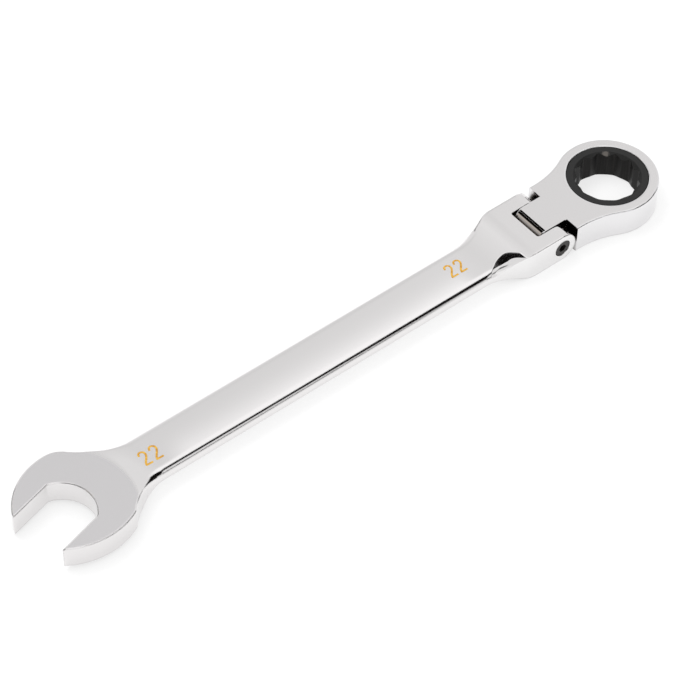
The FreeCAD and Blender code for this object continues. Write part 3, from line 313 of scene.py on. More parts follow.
@dataclass(frozen=True)
class HeadPlate(ChromePlate):
    """The head's plate: crisp round the tongue, whose end rolls over just before its edge.

    The head's side walls are painted paler than its flat faces: painted light. Inside the joint
    the slot gets painted shade, darker deeper below the head's faces, the tongue's near side gets
    a painted black shadow line beside the gap, and the shoulder behind the near ear gets painted
    dark shade. The rolled strip at the tongue's end is polished and mirrors a dark flag.
    """

    plate: str = "#e1dfdf"
    # Painted light: the side walls get a paler colour than the flat faces.
    walls: str = "#e8e7e8"
    gap_edge_mm: float = 0.05
    tongue_from: float = -26.0
    tongue_side: float = 7.45
    # Painted shadow: a near-black line on the tongue's near side, beside the gap.
    painted_gap_shadow: str = "#12100e"
    painted_gap_shadow_from: tuple[float, float] = (0.35, 0.22)
    # Painted shade: a dark brown on the shoulder behind the near ear.
    painted_shoulder_shade: str = "#3b3531"
    shoulder_facing: tuple[float, float] = (-0.3, -0.5)
    roll_from: float = -36.8
    roll_half_width: float = 6.9
    roll_edge: float = 0.2
    roll_slope: float = 0.72
    # Painted shade: a brown grey on the joint's faces deeper below the head's faces.
    painted_slot_shade: str = "#6f6862"
    slot_heights: tuple[float, float] = (5.3, 4.3)

    def crisp(self, tree: Tree, at: Node) -> Any:
        """Keep the edges of the tongue and the shoulders crisp.

        Args:
            tree: The plate's node tree.
            at: Node with the place on the piece as X, Y and Z.

        Returns:
            The share of crisp edges.
        """
        return add_node(tree, "ShaderNodeMapRange", {
            "Value": at.outputs["X"], "From Min": (self.tongue_from + 1) * MM,
            "From Max": (self.tongue_from - 1) * MM,
        }, interpolation_type="SMOOTHSTEP").outputs["Result"]

    def lean(self, tree: Tree, at: Node, facing: Node, flat: Socket) -> Socket | None:
        """Roll the tongue's end over.

        Args:
            tree: The plate's node tree.
            at: Node with the place on the piece as X, Y and Z.
            facing: Node with the face's direction as X, Y and Z.
            flat: 1 on the flat faces and 0 on the walls; not used here.

        Returns:
            A vector in the piece's own frame.
        """
        level = add_node(tree, "ShaderNodeMapRange", {
            "Value": add_node(tree, "ShaderNodeMath", {
                0: facing.outputs["Z"],
            }, operation="ABSOLUTE").outputs[0],
            "From Min": 0.9, "From Max": 0.98,
        }, interpolation_type="SMOOTHSTEP").outputs["Result"]
        return add_node(tree, "ShaderNodeCombineXYZ", {
            0: add_node(tree, "ShaderNodeMath", {
                0: add_node(tree, "ShaderNodeMath", {
                    0: self.roll(tree, at), 1: level,
                }, operation="MULTIPLY").outputs[0],
                1: -self.roll_slope,
            }, operation="MULTIPLY").outputs[0],
        }).outputs[0]

    def roll(self, tree: Tree, at: Node) -> Socket:
        """Find the rolled strip along the tongue's end.

        Args:
            tree: The plate's node tree.
            at: Node with the place on the piece as X, Y and Z.

        Returns:
            1 on the strip and 0 elsewhere.
        """
        across = add_node(tree, "ShaderNodeMath", {
            0: at.outputs["Y"],
        }, operation="ABSOLUTE").outputs[0]
        return add_node(tree, "ShaderNodeMath", {
            0: add_node(tree, "ShaderNodeMapRange", {
                "Value": at.outputs["X"], "From Min": self.roll_from * MM,
                "From Max": (self.roll_from - self.roll_edge) * MM,
            }, interpolation_type="SMOOTHSTEP").outputs["Result"],
            1: add_node(tree, "ShaderNodeMapRange", {
                "Value": across, "From Min": (self.roll_half_width + self.roll_edge) * MM,
                "From Max": (self.roll_half_width - self.roll_edge) * MM,
            }, interpolation_type="SMOOTHSTEP").outputs["Result"],
        }, operation="MULTIPLY").outputs[0]

    def tone(self, tree: Tree, at: Node, facing: Node, flat: Socket, colour: Any,
             roughness: Socket) -> tuple[Any, Any]:
        """Paint light on the walls and shade in the slot, near gap and near shoulder; buff the
        roll.

        Args:
            tree: The plate's node tree.
            at: Node with the place on the piece as X, Y and Z.
            facing: Node with the face's direction as X, Y and Z.
            flat: 1 on the flat faces and 0 on the walls.
            colour: The plate's colour, as linear values or a socket.
            roughness: The plate's roughness.

        Returns:
            The changed colour and roughness.
        """
        in_joint = add_node(tree, "ShaderNodeMapRange", {
            "Value": at.outputs["X"], "From Min": (self.tongue_from - 1.5) * MM,
            "From Max": (self.tongue_from - 2) * MM,
        }, interpolation_type="SMOOTHSTEP").outputs["Result"]
        # Painted light: the walls are paler than the flat faces.
        colour = add_node(tree, "ShaderNodeMix", {
            0: flat, 6: linear(self.walls), 7: colour,
        }, data_type="RGBA").outputs[2]
        # Painted shade in the joint, darker deeper below the head's faces.
        top, bottom = self.slot_heights
        deep = add_node(tree, "ShaderNodeMath", {
            0: add_node(tree, "ShaderNodeMapRange", {
                "Value": add_node(tree, "ShaderNodeMath", {
                    0: at.outputs["Z"],
                }, operation="ABSOLUTE").outputs[0],
                "From Min": top * MM, "From Max": bottom * MM,
            }, interpolation_type="SMOOTHSTEP").outputs["Result"],
            1: in_joint,
        }, operation="MULTIPLY").outputs[0]
        colour = add_node(tree, "ShaderNodeMix", {
            0: deep, 6: colour, 7: linear(self.painted_slot_shade),
        }, data_type="RGBA").outputs[2]
        # Painted shadow line along the tongue's near side, beside the gap.
        side = add_node(tree, "ShaderNodeMath", {
            0: in_joint,
            1: add_node(tree, "ShaderNodeMapRange", {
                "Value": at.outputs["Y"],
                "From Min": (self.painted_gap_shadow_from[0] - self.tongue_side) * MM,
                "From Max": (self.painted_gap_shadow_from[1] - self.tongue_side) * MM,
            }, interpolation_type="SMOOTHSTEP").outputs["Result"],
        }, operation="MULTIPLY").outputs[0]
        colour = add_node(tree, "ShaderNodeMix", {
            0: side, 6: colour, 7: linear(self.painted_gap_shadow),
        }, data_type="RGBA").outputs[2]
        # Painted shade on the faces behind the near ear that turn towards -X.
        neck = add_node(tree, "ShaderNodeMath", {
            0: add_node(tree, "ShaderNodeMapRange", {
                "Value": at.outputs["X"], "From Min": (self.tongue_from + 6) * MM,
                "From Max": (self.tongue_from + 5.5) * MM,
            }, interpolation_type="SMOOTHSTEP").outputs["Result"],
            1: add_node(tree, "ShaderNodeMapRange", {
                "Value": at.outputs["X"], "From Min": (self.tongue_from - 1) * MM,
                "From Max": self.tongue_from * MM,
            }, interpolation_type="SMOOTHSTEP").outputs["Result"],
        }, operation="MULTIPLY").outputs[0]
        behind_ears = add_node(tree, "ShaderNodeMath", {
            0: neck,
            1: add_node(tree, "ShaderNodeMath", {
                0: add_node(tree, "ShaderNodeMapRange", {
                    "Value": facing.outputs["X"], "From Min": self.shoulder_facing[0],
                    "From Max": self.shoulder_facing[1],
                }, interpolation_type="SMOOTHSTEP").outputs["Result"],
                1: add_node(tree, "ShaderNodeMapRange", {
                    "Value": at.outputs["Y"], "From Min": 0.0, "From Max": -1.0 * MM,
                }, interpolation_type="SMOOTHSTEP").outputs["Result"],
            }, operation="MULTIPLY").outputs[0],
        }, operation="MULTIPLY").outputs[0]
        colour = add_node(tree, "ShaderNodeMix", {
            0: behind_ears, 6: colour, 7: linear(self.painted_shoulder_shade),
        }, data_type="RGBA").outputs[2]
        roughness = add_node(tree, "ShaderNodeMath", {
            0: self.roll(tree, at), 1: Grade.POLISHED.value - Grade.BELTED.value, 2: roughness,
        }, operation="MULTIPLY_ADD").outputs[0]
        return colour, roughness


@dataclass(frozen=True)
class HandlePlate(ChromePlate):
    """The handle's plate: a crowned shank, a blasted jaw face, and a rounded flare shoulder.

    The shank's face was belted lying over, so it is crowned about a line near its far edge and
    turns brighter towards the near one. The jaw's face was vapour blasted: a darker, softer
    grey. At the flare's -Y side the forging rolls over in a broad shoulder, which mirrors a
    dark flag and then the light beyond it. The fork's walls are painted paler: painted light.
    """

    jaw_centre: tuple[float, float] = (-252.2, -3.2)
    jaw_radius: float = 27.6
    jaw_tint: str = "#dad8d9"
    crown: tuple[float, float] = (-212.0, -68.0)
    crown_line: float = 7.0
    crown_width: float = 14.0
    crown_slope: float = 0.14
    shoulder: tuple[float, float] = (-66.0, -51.0)
    shoulder_middle: float = -56.0
    shoulder_start: float = 4.6
    shoulder_spread: tuple[float, float] = (0.056, 0.18)
    shoulder_slope: float = 0.42
    shoulder_growth: float = 0.03
    shoulder_width: float = 4.1
    shoulder_taper: float = 0.35
    shoulder_turn: float = 0.32
    # Painted light: the fork's walls get a paler colour than the flat faces.
    fork_walls: str = "#ecebeb"
    wall_facing: tuple[float, float] = (0.5, 0.3)
    top_facing: tuple[float, float] = (0.5, 0.7)
    edge_mm: float = 1.2
    slot: tuple[float, float] = (-43.0, 9.0)

    def crisp(self, tree: Tree, at: Node) -> Any:
        """Keep the edges of the fork's slot crisp.

        Args:
            tree: The plate's node tree.
            at: Node with the place on the piece as X, Y and Z.

        Returns:
            The share of crisp edges.
        """
        back, half = self.slot
        return add_node(tree, "ShaderNodeMath", {
            0: add_node(tree, "ShaderNodeMapRange", {
                "Value": at.outputs["X"], "From Min": back * MM, "From Max": (back + 0.6) * MM,
            }, interpolation_type="SMOOTHSTEP").outputs["Result"],
            1: add_node(tree, "ShaderNodeMapRange", {
                "Value": add_node(tree, "ShaderNodeMath", {
                    0: at.outputs["Y"],
                }, operation="ABSOLUTE").outputs[0],
                "From Min": (half + 0.5) * MM, "From Max": (half - 0.5) * MM,
            }, interpolation_type="SMOOTHSTEP").outputs["Result"],
        }, operation="MULTIPLY").outputs[0]

    def lean(self, tree: Tree, at: Node, facing: Node, flat: Socket) -> Socket | None:
        """Crown the shank and roll the flare's -Y shoulder over.

        Args:
            tree: The plate's node tree.
            at: Node with the place on the piece as X, Y and Z.
            facing: Node with the face's direction as X, Y and Z.
            flat: 1 on the flat faces and 0 on the walls.

        Returns:
            A vector in the piece's own frame.
        """
        x, y = (
            add_node(tree, "ShaderNodeMath", {
                0: at.outputs[axis], 1: MM,
            }, operation="DIVIDE").outputs[0]
            for axis in "XY"
        )
        low, high = self.crown
        window = add_node(tree, "ShaderNodeMath", {
            0: add_node(tree, "ShaderNodeMapRange", {
                "Value": x, "From Min": low, "From Max": low + 14,
            }, interpolation_type="SMOOTHSTEP").outputs["Result"],
            1: add_node(tree, "ShaderNodeMapRange", {
                "Value": x, "From Min": high, "From Max": high - 10,
            }, interpolation_type="SMOOTHSTEP").outputs["Result"],
        }, operation="MULTIPLY").outputs[0]
        share = add_node(tree, "ShaderNodeMath", {
            0: add_node(tree, "ShaderNodeMath", {
                0: self.crown_line, 1: y,
            }, operation="SUBTRACT").outputs[0],
            1: self.crown_width,
        }, operation="DIVIDE").outputs[0]
        slope = add_node(tree, "ShaderNodeMath", {
            0: add_node(tree, "ShaderNodeMath", {
                0: share, 1: share,
            }, operation="MULTIPLY").outputs[0],
            1: -self.crown_slope,
        }, operation="MULTIPLY").outputs[0]
        crowned = add_node(tree, "ShaderNodeMath", {
            0: add_node(tree, "ShaderNodeMath", {
                0: slope, 1: window,
            }, operation="MULTIPLY").outputs[0],
            1: flat,
        }, operation="MULTIPLY").outputs[0]

        along = add_node(tree, "ShaderNodeMath", {
            0: x, 1: self.shoulder_middle,
        }, operation="SUBTRACT").outputs[0]
        left, right = self.shoulder_spread
        spread = add_node(tree, "ShaderNodeMath", {
            0: add_node(tree, "ShaderNodeMath", {
                0: along, 1: 0.0,
            }, operation="GREATER_THAN").outputs[0],
            1: right - left, 2: left,
        }, operation="MULTIPLY_ADD").outputs[0]
        start = add_node(tree, "ShaderNodeMath", {
            0: add_node(tree, "ShaderNodeMath", {
                0: along, 1: along,
            }, operation="MULTIPLY").outputs[0],
            1: spread, 2: self.shoulder_start,
        }, operation="MULTIPLY_ADD").outputs[0]
        past = add_node(tree, "ShaderNodeMath", {
            0: add_node(tree, "ShaderNodeMath", {0: y}, operation="ABSOLUTE").outputs[0], 1: start,
        }, operation="SUBTRACT").outputs[0]
        rolled = add_node(tree, "ShaderNodeMath", {
            0: add_node(tree, "ShaderNodeMapRange", {
                "Value": past, "From Min": 0.0, "From Max": 0.5,
            }, interpolation_type="SMOOTHSTEP").outputs["Result"],
            1: self.shoulder_slope,
            2: add_node(tree, "ShaderNodeMath", {
                0: add_node(tree, "ShaderNodeMath", {
                    0: past, 1: 0.0,
                }, operation="MAXIMUM").outputs[0],
                1: self.shoulder_growth,
            }, operation="MULTIPLY").outputs[0],
        }, operation="MULTIPLY_ADD").outputs[0]
        width = add_node(tree, "ShaderNodeMath", {
            0: add_node(tree, "ShaderNodeMath", {
                0: add_node(tree, "ShaderNodeMath", {0: along, 1: 1.0}, operation="ADD").outputs[0],
                1: 0.0,
            }, operation="MINIMUM").outputs[0],
            1: self.shoulder_taper, 2: self.shoulder_width,
        }, operation="MULTIPLY_ADD").outputs[0]
        beyond = add_node(tree, "ShaderNodeMapRange", {
            "Value": add_node(tree, "ShaderNodeMath", {
                0: past, 1: width,
            }, operation="SUBTRACT").outputs[0],
            "From Min": -0.2, "From Max": 0.3,
        }, interpolation_type="SMOOTHSTEP").outputs["Result"]
        rolled = add_node(tree, "ShaderNodeMath", {
            0: beyond, 1: self.shoulder_turn, 2: rolled,
        }, operation="MULTIPLY_ADD").outputs[0]
        low, high = self.shoulder
        window = add_node(tree, "ShaderNodeMath", {
            0: add_node(tree, "ShaderNodeMapRange", {
                "Value": x, "From Min": low - 1.0, "From Max": low + 1.0,
            }, interpolation_type="SMOOTHSTEP").outputs["Result"],
            1: add_node(tree, "ShaderNodeMapRange", {
                "Value": x, "From Min": high + 0.5, "From Max": high - 0.5,
            }, interpolation_type="SMOOTHSTEP").outputs["Result"],
        }, operation="MULTIPLY").outputs[0]
        upward = add_node(tree, "ShaderNodeMapRange", {
            "Value": add_node(tree, "ShaderNodeMath", {
                0: facing.outputs["Z"],
            }, operation="ABSOLUTE").outputs[0],
            "From Min": self.top_facing[0], "From Max": self.top_facing[1],
        }, interpolation_type="SMOOTHSTEP").outputs["Result"]
        rolled = add_node(tree, "ShaderNodeMath", {
            0: add_node(tree, "ShaderNodeMath", {
                0: rolled, 1: window,
            }, operation="MULTIPLY").outputs[0],
            1: upward,
        }, operation="MULTIPLY").outputs[0]
        rolled = add_node(tree, "ShaderNodeMath", {
            0: rolled,
            1: add_node(tree, "ShaderNodeMath", {
                0: add_node(tree, "ShaderNodeMath", {0: y}, operation="SIGN").outputs[0], 1: 0.0,
            }, operation="MINIMUM").outputs[0],
        }, operation="MULTIPLY").outputs[0]
        return add_node(tree, "ShaderNodeCombineXYZ", {
            1: add_node(tree, "ShaderNodeMath", {
                0: crowned, 1: rolled,
            }, operation="ADD").outputs[0],
        }).outputs[0]

    def tone(self, tree: Tree, at: Node, facing: Node, flat: Socket, colour: Any,
             roughness: Socket) -> tuple[Any, Any]:
        """Blast the jaw's face and paint the fork's walls paler: painted light.

        Args:
            tree: The plate's node tree.
            at: Node with the place on the piece as X, Y and Z.
            facing: Node with the face's direction as X, Y and Z.
            flat: 1 on the flat faces and 0 on the walls.
            colour: The plate's colour, as linear values or a socket.
            roughness: The plate's roughness.

        Returns:
            The changed colour and roughness.
        """
        flat_place = add_node(tree, "ShaderNodeCombineXYZ",
                              {0: at.outputs["X"], 1: at.outputs["Y"]})
        away = add_node(tree, "ShaderNodeVectorMath",
                        {0: flat_place.outputs[0],
                         1: (self.jaw_centre[0] * MM, self.jaw_centre[1] * MM, 0.0)},
                        operation="DISTANCE")
        inside = add_node(tree, "ShaderNodeMapRange", {
            "Value": away.outputs["Value"], "From Min": (self.jaw_radius + 0.5) * MM,
            "From Max": (self.jaw_radius - 0.5) * MM,
        }, interpolation_type="SMOOTHSTEP").outputs["Result"]
        # Painted light: walls from the flare to the fork get the paler fork colour.
        low, high = self.shoulder
        bright = add_node(tree, "ShaderNodeMath", {
            0: add_node(tree, "ShaderNodeMapRange", {
                "Value": add_node(tree, "ShaderNodeMath", {
                    0: facing.outputs["Z"],
                }, operation="ABSOLUTE").outputs[0],
                "From Min": self.wall_facing[0], "From Max": self.wall_facing[1],
            }, interpolation_type="SMOOTHSTEP").outputs["Result"],
            1: add_node(tree, "ShaderNodeMapRange", {
                "Value": at.outputs["X"], "From Min": (low - 10) * MM, "From Max": high * MM,
            }, interpolation_type="SMOOTHSTEP").outputs["Result"],
        }, operation="MULTIPLY").outputs[0]
        colour = add_node(tree, "ShaderNodeMix", {
            0: bright, 6: colour, 7: linear(self.fork_walls),
        }, data_type="RGBA").outputs[2]
        blasted = add_node(tree, "ShaderNodeMath", {
            0: inside, 1: flat,
        }, operation="MULTIPLY").outputs[0]
        roughness = add_node(tree, "ShaderNodeMath", {
            0: blasted, 1: Grade.BLASTED.value - Grade.BELTED.value, 2: roughness,
        }, operation="MULTIPLY_ADD").outputs[0]
        return (
            add_node(tree, "ShaderNodeMix", {
                0: blasted, 6: colour, 7: linear(self.jaw_tint),
            }, data_type="RGBA").outputs[2],
            roughness,
        )


@dataclass(frozen=True)
class DarkSteel:
    """Hardened steel in a phosphate or oil-black finish: dark, dull, a little streaked.

    The coating grows on turned and broached faces, so it keeps their tool marks, which show
    as faint lighter streaks along the cut. Its crystals are far finer than the grain, which is
    drawn at a quarter of a millimetre so that it shows.
    """

    name: str
    colour: str = "#2c2d2e"
    streak_colour: str = "#4a4846"
    roughness: float = 0.42
    metallic: float = 0.55
    streak_mm: tuple[float, float, float] = (0.5, 0.5, 9.0)
    streak_share: float = 0.35
    # Painted shade: upright faces, such as a hole's walls, get this darker colour.
    painted_wall_shade: str | None = None
    # Painted highlight: a light patch round a point, on faces turned within a range.
    painted_highlight_colour: str = "#a09a95"
    painted_highlight_centre: tuple[float, float, float] | None = None
    painted_highlight_reach: float = 0.0
    painted_highlight_facing: tuple[float, float] = (-1.2, 1.2)
    gloss: float = 0.5
    grain_mm: float = 0.25
    mark_height: float = 0.006
    streak_range: tuple[float, float] = (0.45, 0.75)
    wall_facing: tuple[float, float] = (0.45, 0.2)
    roughness_spread: float = 0.12

    def make(self) -> bpy.types.Material:
        """Build the coating's node tree.

        Returns:
            The finished material.
        """
        material, tree = blank_material(self.name)
        place = add_node(tree, "ShaderNodeTexCoord")
        stretch = add_node(tree, "ShaderNodeMapping",
                           {"Vector": place.outputs["Object"],
                            "Scale": tuple(1 / (size * MM) for size in self.streak_mm)})
        streaks = add_node(tree, "ShaderNodeTexNoise",
                           {"Vector": stretch.outputs[0], "Scale": 1.0, "Detail": 3.0,
                            "Roughness": 0.6})
        grain = add_node(tree, "ShaderNodeTexNoise",
                         {"Vector": place.outputs["Object"], "Scale": 1 / (self.grain_mm * MM),
                          "Detail": 2.0})
        share = add_node(tree, "ShaderNodeMath", {
            0: add_node(tree, "ShaderNodeMapRange", {
                "Value": streaks.outputs["Fac"], "From Min": self.streak_range[0],
                "From Max": self.streak_range[1],
            }, interpolation_type="SMOOTHSTEP").outputs["Result"],
            1: self.streak_share,
        }, operation="MULTIPLY").outputs[0]
        base: Any = linear(self.colour)
        facing = add_node(tree, "ShaderNodeSeparateXYZ", {0: place.outputs["Normal"]})
        # Painted shade on the upright faces.
        if self.painted_wall_shade:
            upright = add_node(tree, "ShaderNodeMapRange", {
                "Value": add_node(tree, "ShaderNodeMath", {
                    0: facing.outputs["Z"],
                }, operation="ABSOLUTE").outputs[0],
                "From Min": self.wall_facing[0], "From Max": self.wall_facing[1],
            }, interpolation_type="SMOOTHSTEP").outputs["Result"]
            base = add_node(tree, "ShaderNodeMix", {
                0: upright, 6: base, 7: linear(self.painted_wall_shade),
            }, data_type="RGBA").outputs[2]
        colour = add_node(tree, "ShaderNodeMix", {
            0: share, 6: base, 7: linear(self.streak_colour),
        }, data_type="RGBA").outputs[2]
        # Painted highlight: a patchy light spot round the given point.
        if self.painted_highlight_centre:
            reach, (low, high) = self.painted_highlight_reach * MM, self.painted_highlight_facing
            away = add_node(tree, "ShaderNodeVectorMath",
                            {0: place.outputs["Object"],
                             1: tuple(value * MM for value in self.painted_highlight_centre)},
                            operation="DISTANCE")
            patchy = add_node(tree, "ShaderNodeMath", {
                0: grain.outputs["Fac"], 1: 1.2 * reach, 2: away.outputs["Value"],
            }, operation="MULTIPLY_ADD").outputs[0]
            painted_highlight_share = add_node(tree, "ShaderNodeMath", {
                0: add_node(tree, "ShaderNodeMapRange", {
                    "Value": patchy, "From Min": 1.6 * reach, "From Max": 1.2 * reach,
                }, interpolation_type="SMOOTHSTEP").outputs["Result"],
                1: add_node(tree, "ShaderNodeMath", {
                    0: add_node(tree, "ShaderNodeMapRange", {
                        "Value": facing.outputs["Z"], "From Min": low, "From Max": low + 0.1,
                    }, interpolation_type="SMOOTHSTEP").outputs["Result"],
                    1: add_node(tree, "ShaderNodeMapRange", {
                        "Value": facing.outputs["Z"], "From Min": high, "From Max": high - 0.03,
                    }, interpolation_type="SMOOTHSTEP").outputs["Result"],
                }, operation="MULTIPLY").outputs[0],
            }, operation="MULTIPLY").outputs[0]
            colour = add_node(tree, "ShaderNodeMix", {
                0: painted_highlight_share, 6: colour, 7: linear(self.painted_highlight_colour),
            }, data_type="RGBA").outputs[2]
        roughness = add_node(tree, "ShaderNodeMath", {
            0: grain.outputs["Fac"], 1: self.roughness_spread,
            2: self.roughness - self.roughness_spread / 2,
        }, operation="MULTIPLY_ADD").outputs[0]
        height = add_node(tree, "ShaderNodeMath", {
            0: add_node(tree, "ShaderNodeMath", {
                0: streaks.outputs["Fac"], 1: self.mark_height * MM,
            }, operation="MULTIPLY").outputs[0],
            1: add_node(tree, "ShaderNodeMath", {
                0: grain.outputs["Fac"], 1: self.mark_height * MM,
            }, operation="MULTIPLY").outputs[0],
        }, operation="ADD").outputs[0]
        bump = add_node(tree, "ShaderNodeBump", {"Strength": 1.0, "Distance": 1.0,
                                                 "Height": height})
        shader = add_node(tree, "ShaderNodeBsdfPrincipled",
                          {"Base Color": colour, "Metallic": self.metallic,
                           "Roughness": roughness, "Specular IOR Level": self.gloss,
                           "Normal": bump.outputs[0]})
        add_node(tree, "ShaderNodeOutputMaterial", {"Surface": shader.outputs[0]})
        return material


@dataclass(frozen=True)
class FillEnamel:
    """Baked enamel wiped over the numbers: warm yellow, glossy, browner where it lies thin."""

    name: str
    colour: str = "#e8b640"
    thin_colour: str = "#c68d2c"
    thin_range: tuple[float, float] = (0.35, 0.7)
    pool_mm: float = 1.1
    pool_height: float = 0.01
    roughness: float = 0.35

    def make(self) -> bpy.types.Material:
        """Build the enamel's node tree.

        Returns:
            The finished material.
        """
        material, tree = blank_material(self.name)
        place = add_node(tree, "ShaderNodeTexCoord")
        pool = add_node(tree, "ShaderNodeTexNoise",
                        {"Vector": place.outputs["Object"], "Scale": 1 / (self.pool_mm * MM),
                         "Detail": 2.0})
        colour = add_node(tree, "ShaderNodeMix", {
            0: add_node(tree, "ShaderNodeMapRange", {
                "Value": pool.outputs["Fac"], "From Min": self.thin_range[0],
                "From Max": self.thin_range[1],
            }, interpolation_type="SMOOTHSTEP").outputs["Result"],
            6: linear(self.colour), 7: linear(self.thin_colour),
        }, data_type="RGBA").outputs[2]
        bump = add_node(tree, "ShaderNodeBump", {
            "Strength": 1.0, "Distance": 1.0,
            "Height": add_node(tree, "ShaderNodeMath", {
                0: pool.outputs["Fac"], 1: self.pool_height * MM,
            }, operation="MULTIPLY").outputs[0],
        })
        shader = add_node(tree, "ShaderNodeBsdfPrincipled",
                          {"Base Color": colour, "Roughness": self.roughness,
                           "Normal": bump.outputs[0]})
        add_node(tree, "ShaderNodeOutputMaterial", {"Surface": shader.outputs[0]})
        return material


# ---------------------------------------------------------------------------------------------
# The tool
# ---------------------------------------------------------------------------------------------
@dataclass
class SizeNumber:
    """A two-digit size number: strokes of enamel laid along the shank's upper face."""

    name: str
    corner: tuple[float, float]
    digit_height: float = 6.0
    digit_width: float = 2.75
    advance: float = 4.5
    stroke: float = 0.8
    proud: float = 0.05
    digits: int = 2
    middle_line: Sequence[tuple[float, float]] = (
        (0.05, 0.76), (0.12, 0.93), (0.48, 1.02), (0.93, 0.92), (1.0, 0.70), (0.72, 0.47),
        (0.22, 0.22), (0.0, 0.0), (0.0, 0.0), (0.5, 0.0), (1.0, 0.0))

    def digit_stroke(self) -> bpy.types.Object:
        """Draw the middle line of one digit two.

        Returns:
            A curve object with one open spline, in metres, at the origin.
        """
        wide, high = self.digit_width * MM, self.digit_height * MM
        data = bpy.data.curves.new(self.name + "_stroke", "CURVE")
        data.dimensions = "3D"
        spline = data.splines.new("NURBS")
        spline.points.add(len(self.middle_line) - 1)
        for point, (x, y) in zip(spline.points, self.middle_line):
            point.co = (x * wide, y * high, 0.0, 1.0)
        spline.order_u = 3
        spline.use_endpoint_u = True
        spline.resolution_u = 5
        stroke = bpy.data.objects.new(self.name + "_stroke", data)
        bpy.context.scene.collection.objects.link(stroke)
        return stroke

    def row_tree(self, material: bpy.types.Material) -> Tree:
        """Build the Geometry Nodes tree that turns one stroke into a row of painted digits.

        Args:
            material: The enamel that the digits get.

        Returns:
            The node tree, with named inputs for the row's sizes.
        """
        tree = bpy.data.node_groups.new(self.name + "_row", "GeometryNodeTree")
        tree.interface.new_socket("Geometry", in_out="INPUT", socket_type="NodeSocketGeometry")
        for label, kind in (("Stroke Width", "NodeSocketFloat"),
                            ("Paint Height", "NodeSocketFloat"),
                            ("Advance", "NodeSocketFloat"), ("Digits", "NodeSocketInt"),
                            ("Corner", "NodeSocketVector"), ("Surface", "NodeSocketObject")):
            tree.interface.new_socket(label, in_out="INPUT", socket_type=kind)
        tree.interface.new_socket("Geometry", in_out="OUTPUT",
                                  socket_type="NodeSocketGeometry")
        given = add_node(tree, "NodeGroupInput").outputs
        upright = add_node(tree, "GeometryNodeSetCurveNormal", {"Curve": given["Geometry"]},
                           mode="Z_UP")
        bead = add_node(tree, "GeometryNodeCurvePrimitiveCircle",
                        {"Resolution": 10, "Radius": 0.5})
        flattened = add_node(tree, "GeometryNodeTransform",
                             {"Geometry": bead.outputs[0],
                              "Scale": add_node(tree, "ShaderNodeCombineXYZ",
                                                {0: given["Stroke Width"],
                                                 1: given["Paint Height"],
                                                 2: 1.0}).outputs[0]})
        painted = add_node(tree, "GeometryNodeCurveToMesh",
                           {"Curve": upright.outputs[0], "Profile Curve": flattened.outputs[0],
                            "Fill Caps": True})
        row = add_node(tree, "GeometryNodeMeshLine",
                       {"Count": given["Digits"], "Start Location": given["Corner"],
                        "Offset": add_node(tree, "ShaderNodeCombineXYZ",
                                           {0: given["Advance"]}).outputs[0]})
        placed = add_node(tree, "GeometryNodeInstanceOnPoints",
                          {"Points": row.outputs[0], "Instance": painted.outputs[0]})
        real = add_node(tree, "GeometryNodeRealizeInstances", {0: placed.outputs[0]})
        metal = add_node(tree, "GeometryNodeObjectInfo", {"Object": given["Surface"]})
        here = add_node(tree, "GeometryNodeInputPosition").outputs[0]
        bit = add_node(tree, "ShaderNodeSeparateXYZ", {0: here}).outputs
        above = add_node(tree, "ShaderNodeCombineXYZ", {0: bit["X"], 1: bit["Y"],
                                                         2: RAY_START})
        drop = add_node(tree, "GeometryNodeRaycast",
                        {"Target Geometry": metal.outputs["Geometry"],
                         "Source Position": above.outputs[0],
                         "Ray Direction": (0.0, 0.0, -1.0), "Ray Length": RAY_LENGTH})
        landed = add_node(tree, "ShaderNodeSeparateXYZ", {0: drop.outputs["Hit Position"]})
        raised = add_node(tree, "ShaderNodeCombineXYZ", {
            2: add_node(tree, "ShaderNodeMath", {
                0: landed.outputs["Z"], 1: drop.outputs["Is Hit"],
            }, operation="MULTIPLY").outputs[0],
        })
        laid = add_node(tree, "GeometryNodeSetPosition",
                        {"Geometry": real.outputs[0], "Offset": raised.outputs[0]})
        smooth = add_node(tree, "GeometryNodeSetShadeSmooth", {0: laid.outputs[0]})
        coated = add_node(tree, "GeometryNodeSetMaterial", {0: smooth.outputs[0],
                                                            "Material": material})
        add_node(tree, "NodeGroupOutput", {"Geometry": coated.outputs[0]})
        return tree

    def build(self, material: bpy.types.Material,
              surface: bpy.types.Object) -> bpy.types.Object:
        """Lay the number on the metal.

        Args:
            material: The enamel.
            surface: The piece whose upper face it lies on.

        Returns:
            The number as a plain mesh object.
        """
        stroke = self.digit_stroke()
        tree = self.row_tree(material)
        row = stroke.modifiers.new("row", "NODES")
        row.node_group = tree
        sizes = {"Stroke Width": self.stroke * MM, "Paint Height": 2 * self.proud * MM,
                 "Advance": self.advance * MM, "Digits": self.digits,
                 "Corner": (self.corner[0] * MM, self.corner[1] * MM, 0.0),
                 "Surface": surface}
        for item in tree.interface.items_tree:
            if item.name in sizes:
                row[item.identifier] = sizes[item.name]
        bpy.context.view_layer.update()
        evaluated = stroke.evaluated_get(bpy.context.evaluated_depsgraph_get())
        mesh = bpy.data.meshes.new_from_object(evaluated)
        bpy.data.objects.remove(stroke)
        number = bpy.data.objects.new(self.name, mesh)
        bpy.context.scene.collection.objects.link(number)
        return number


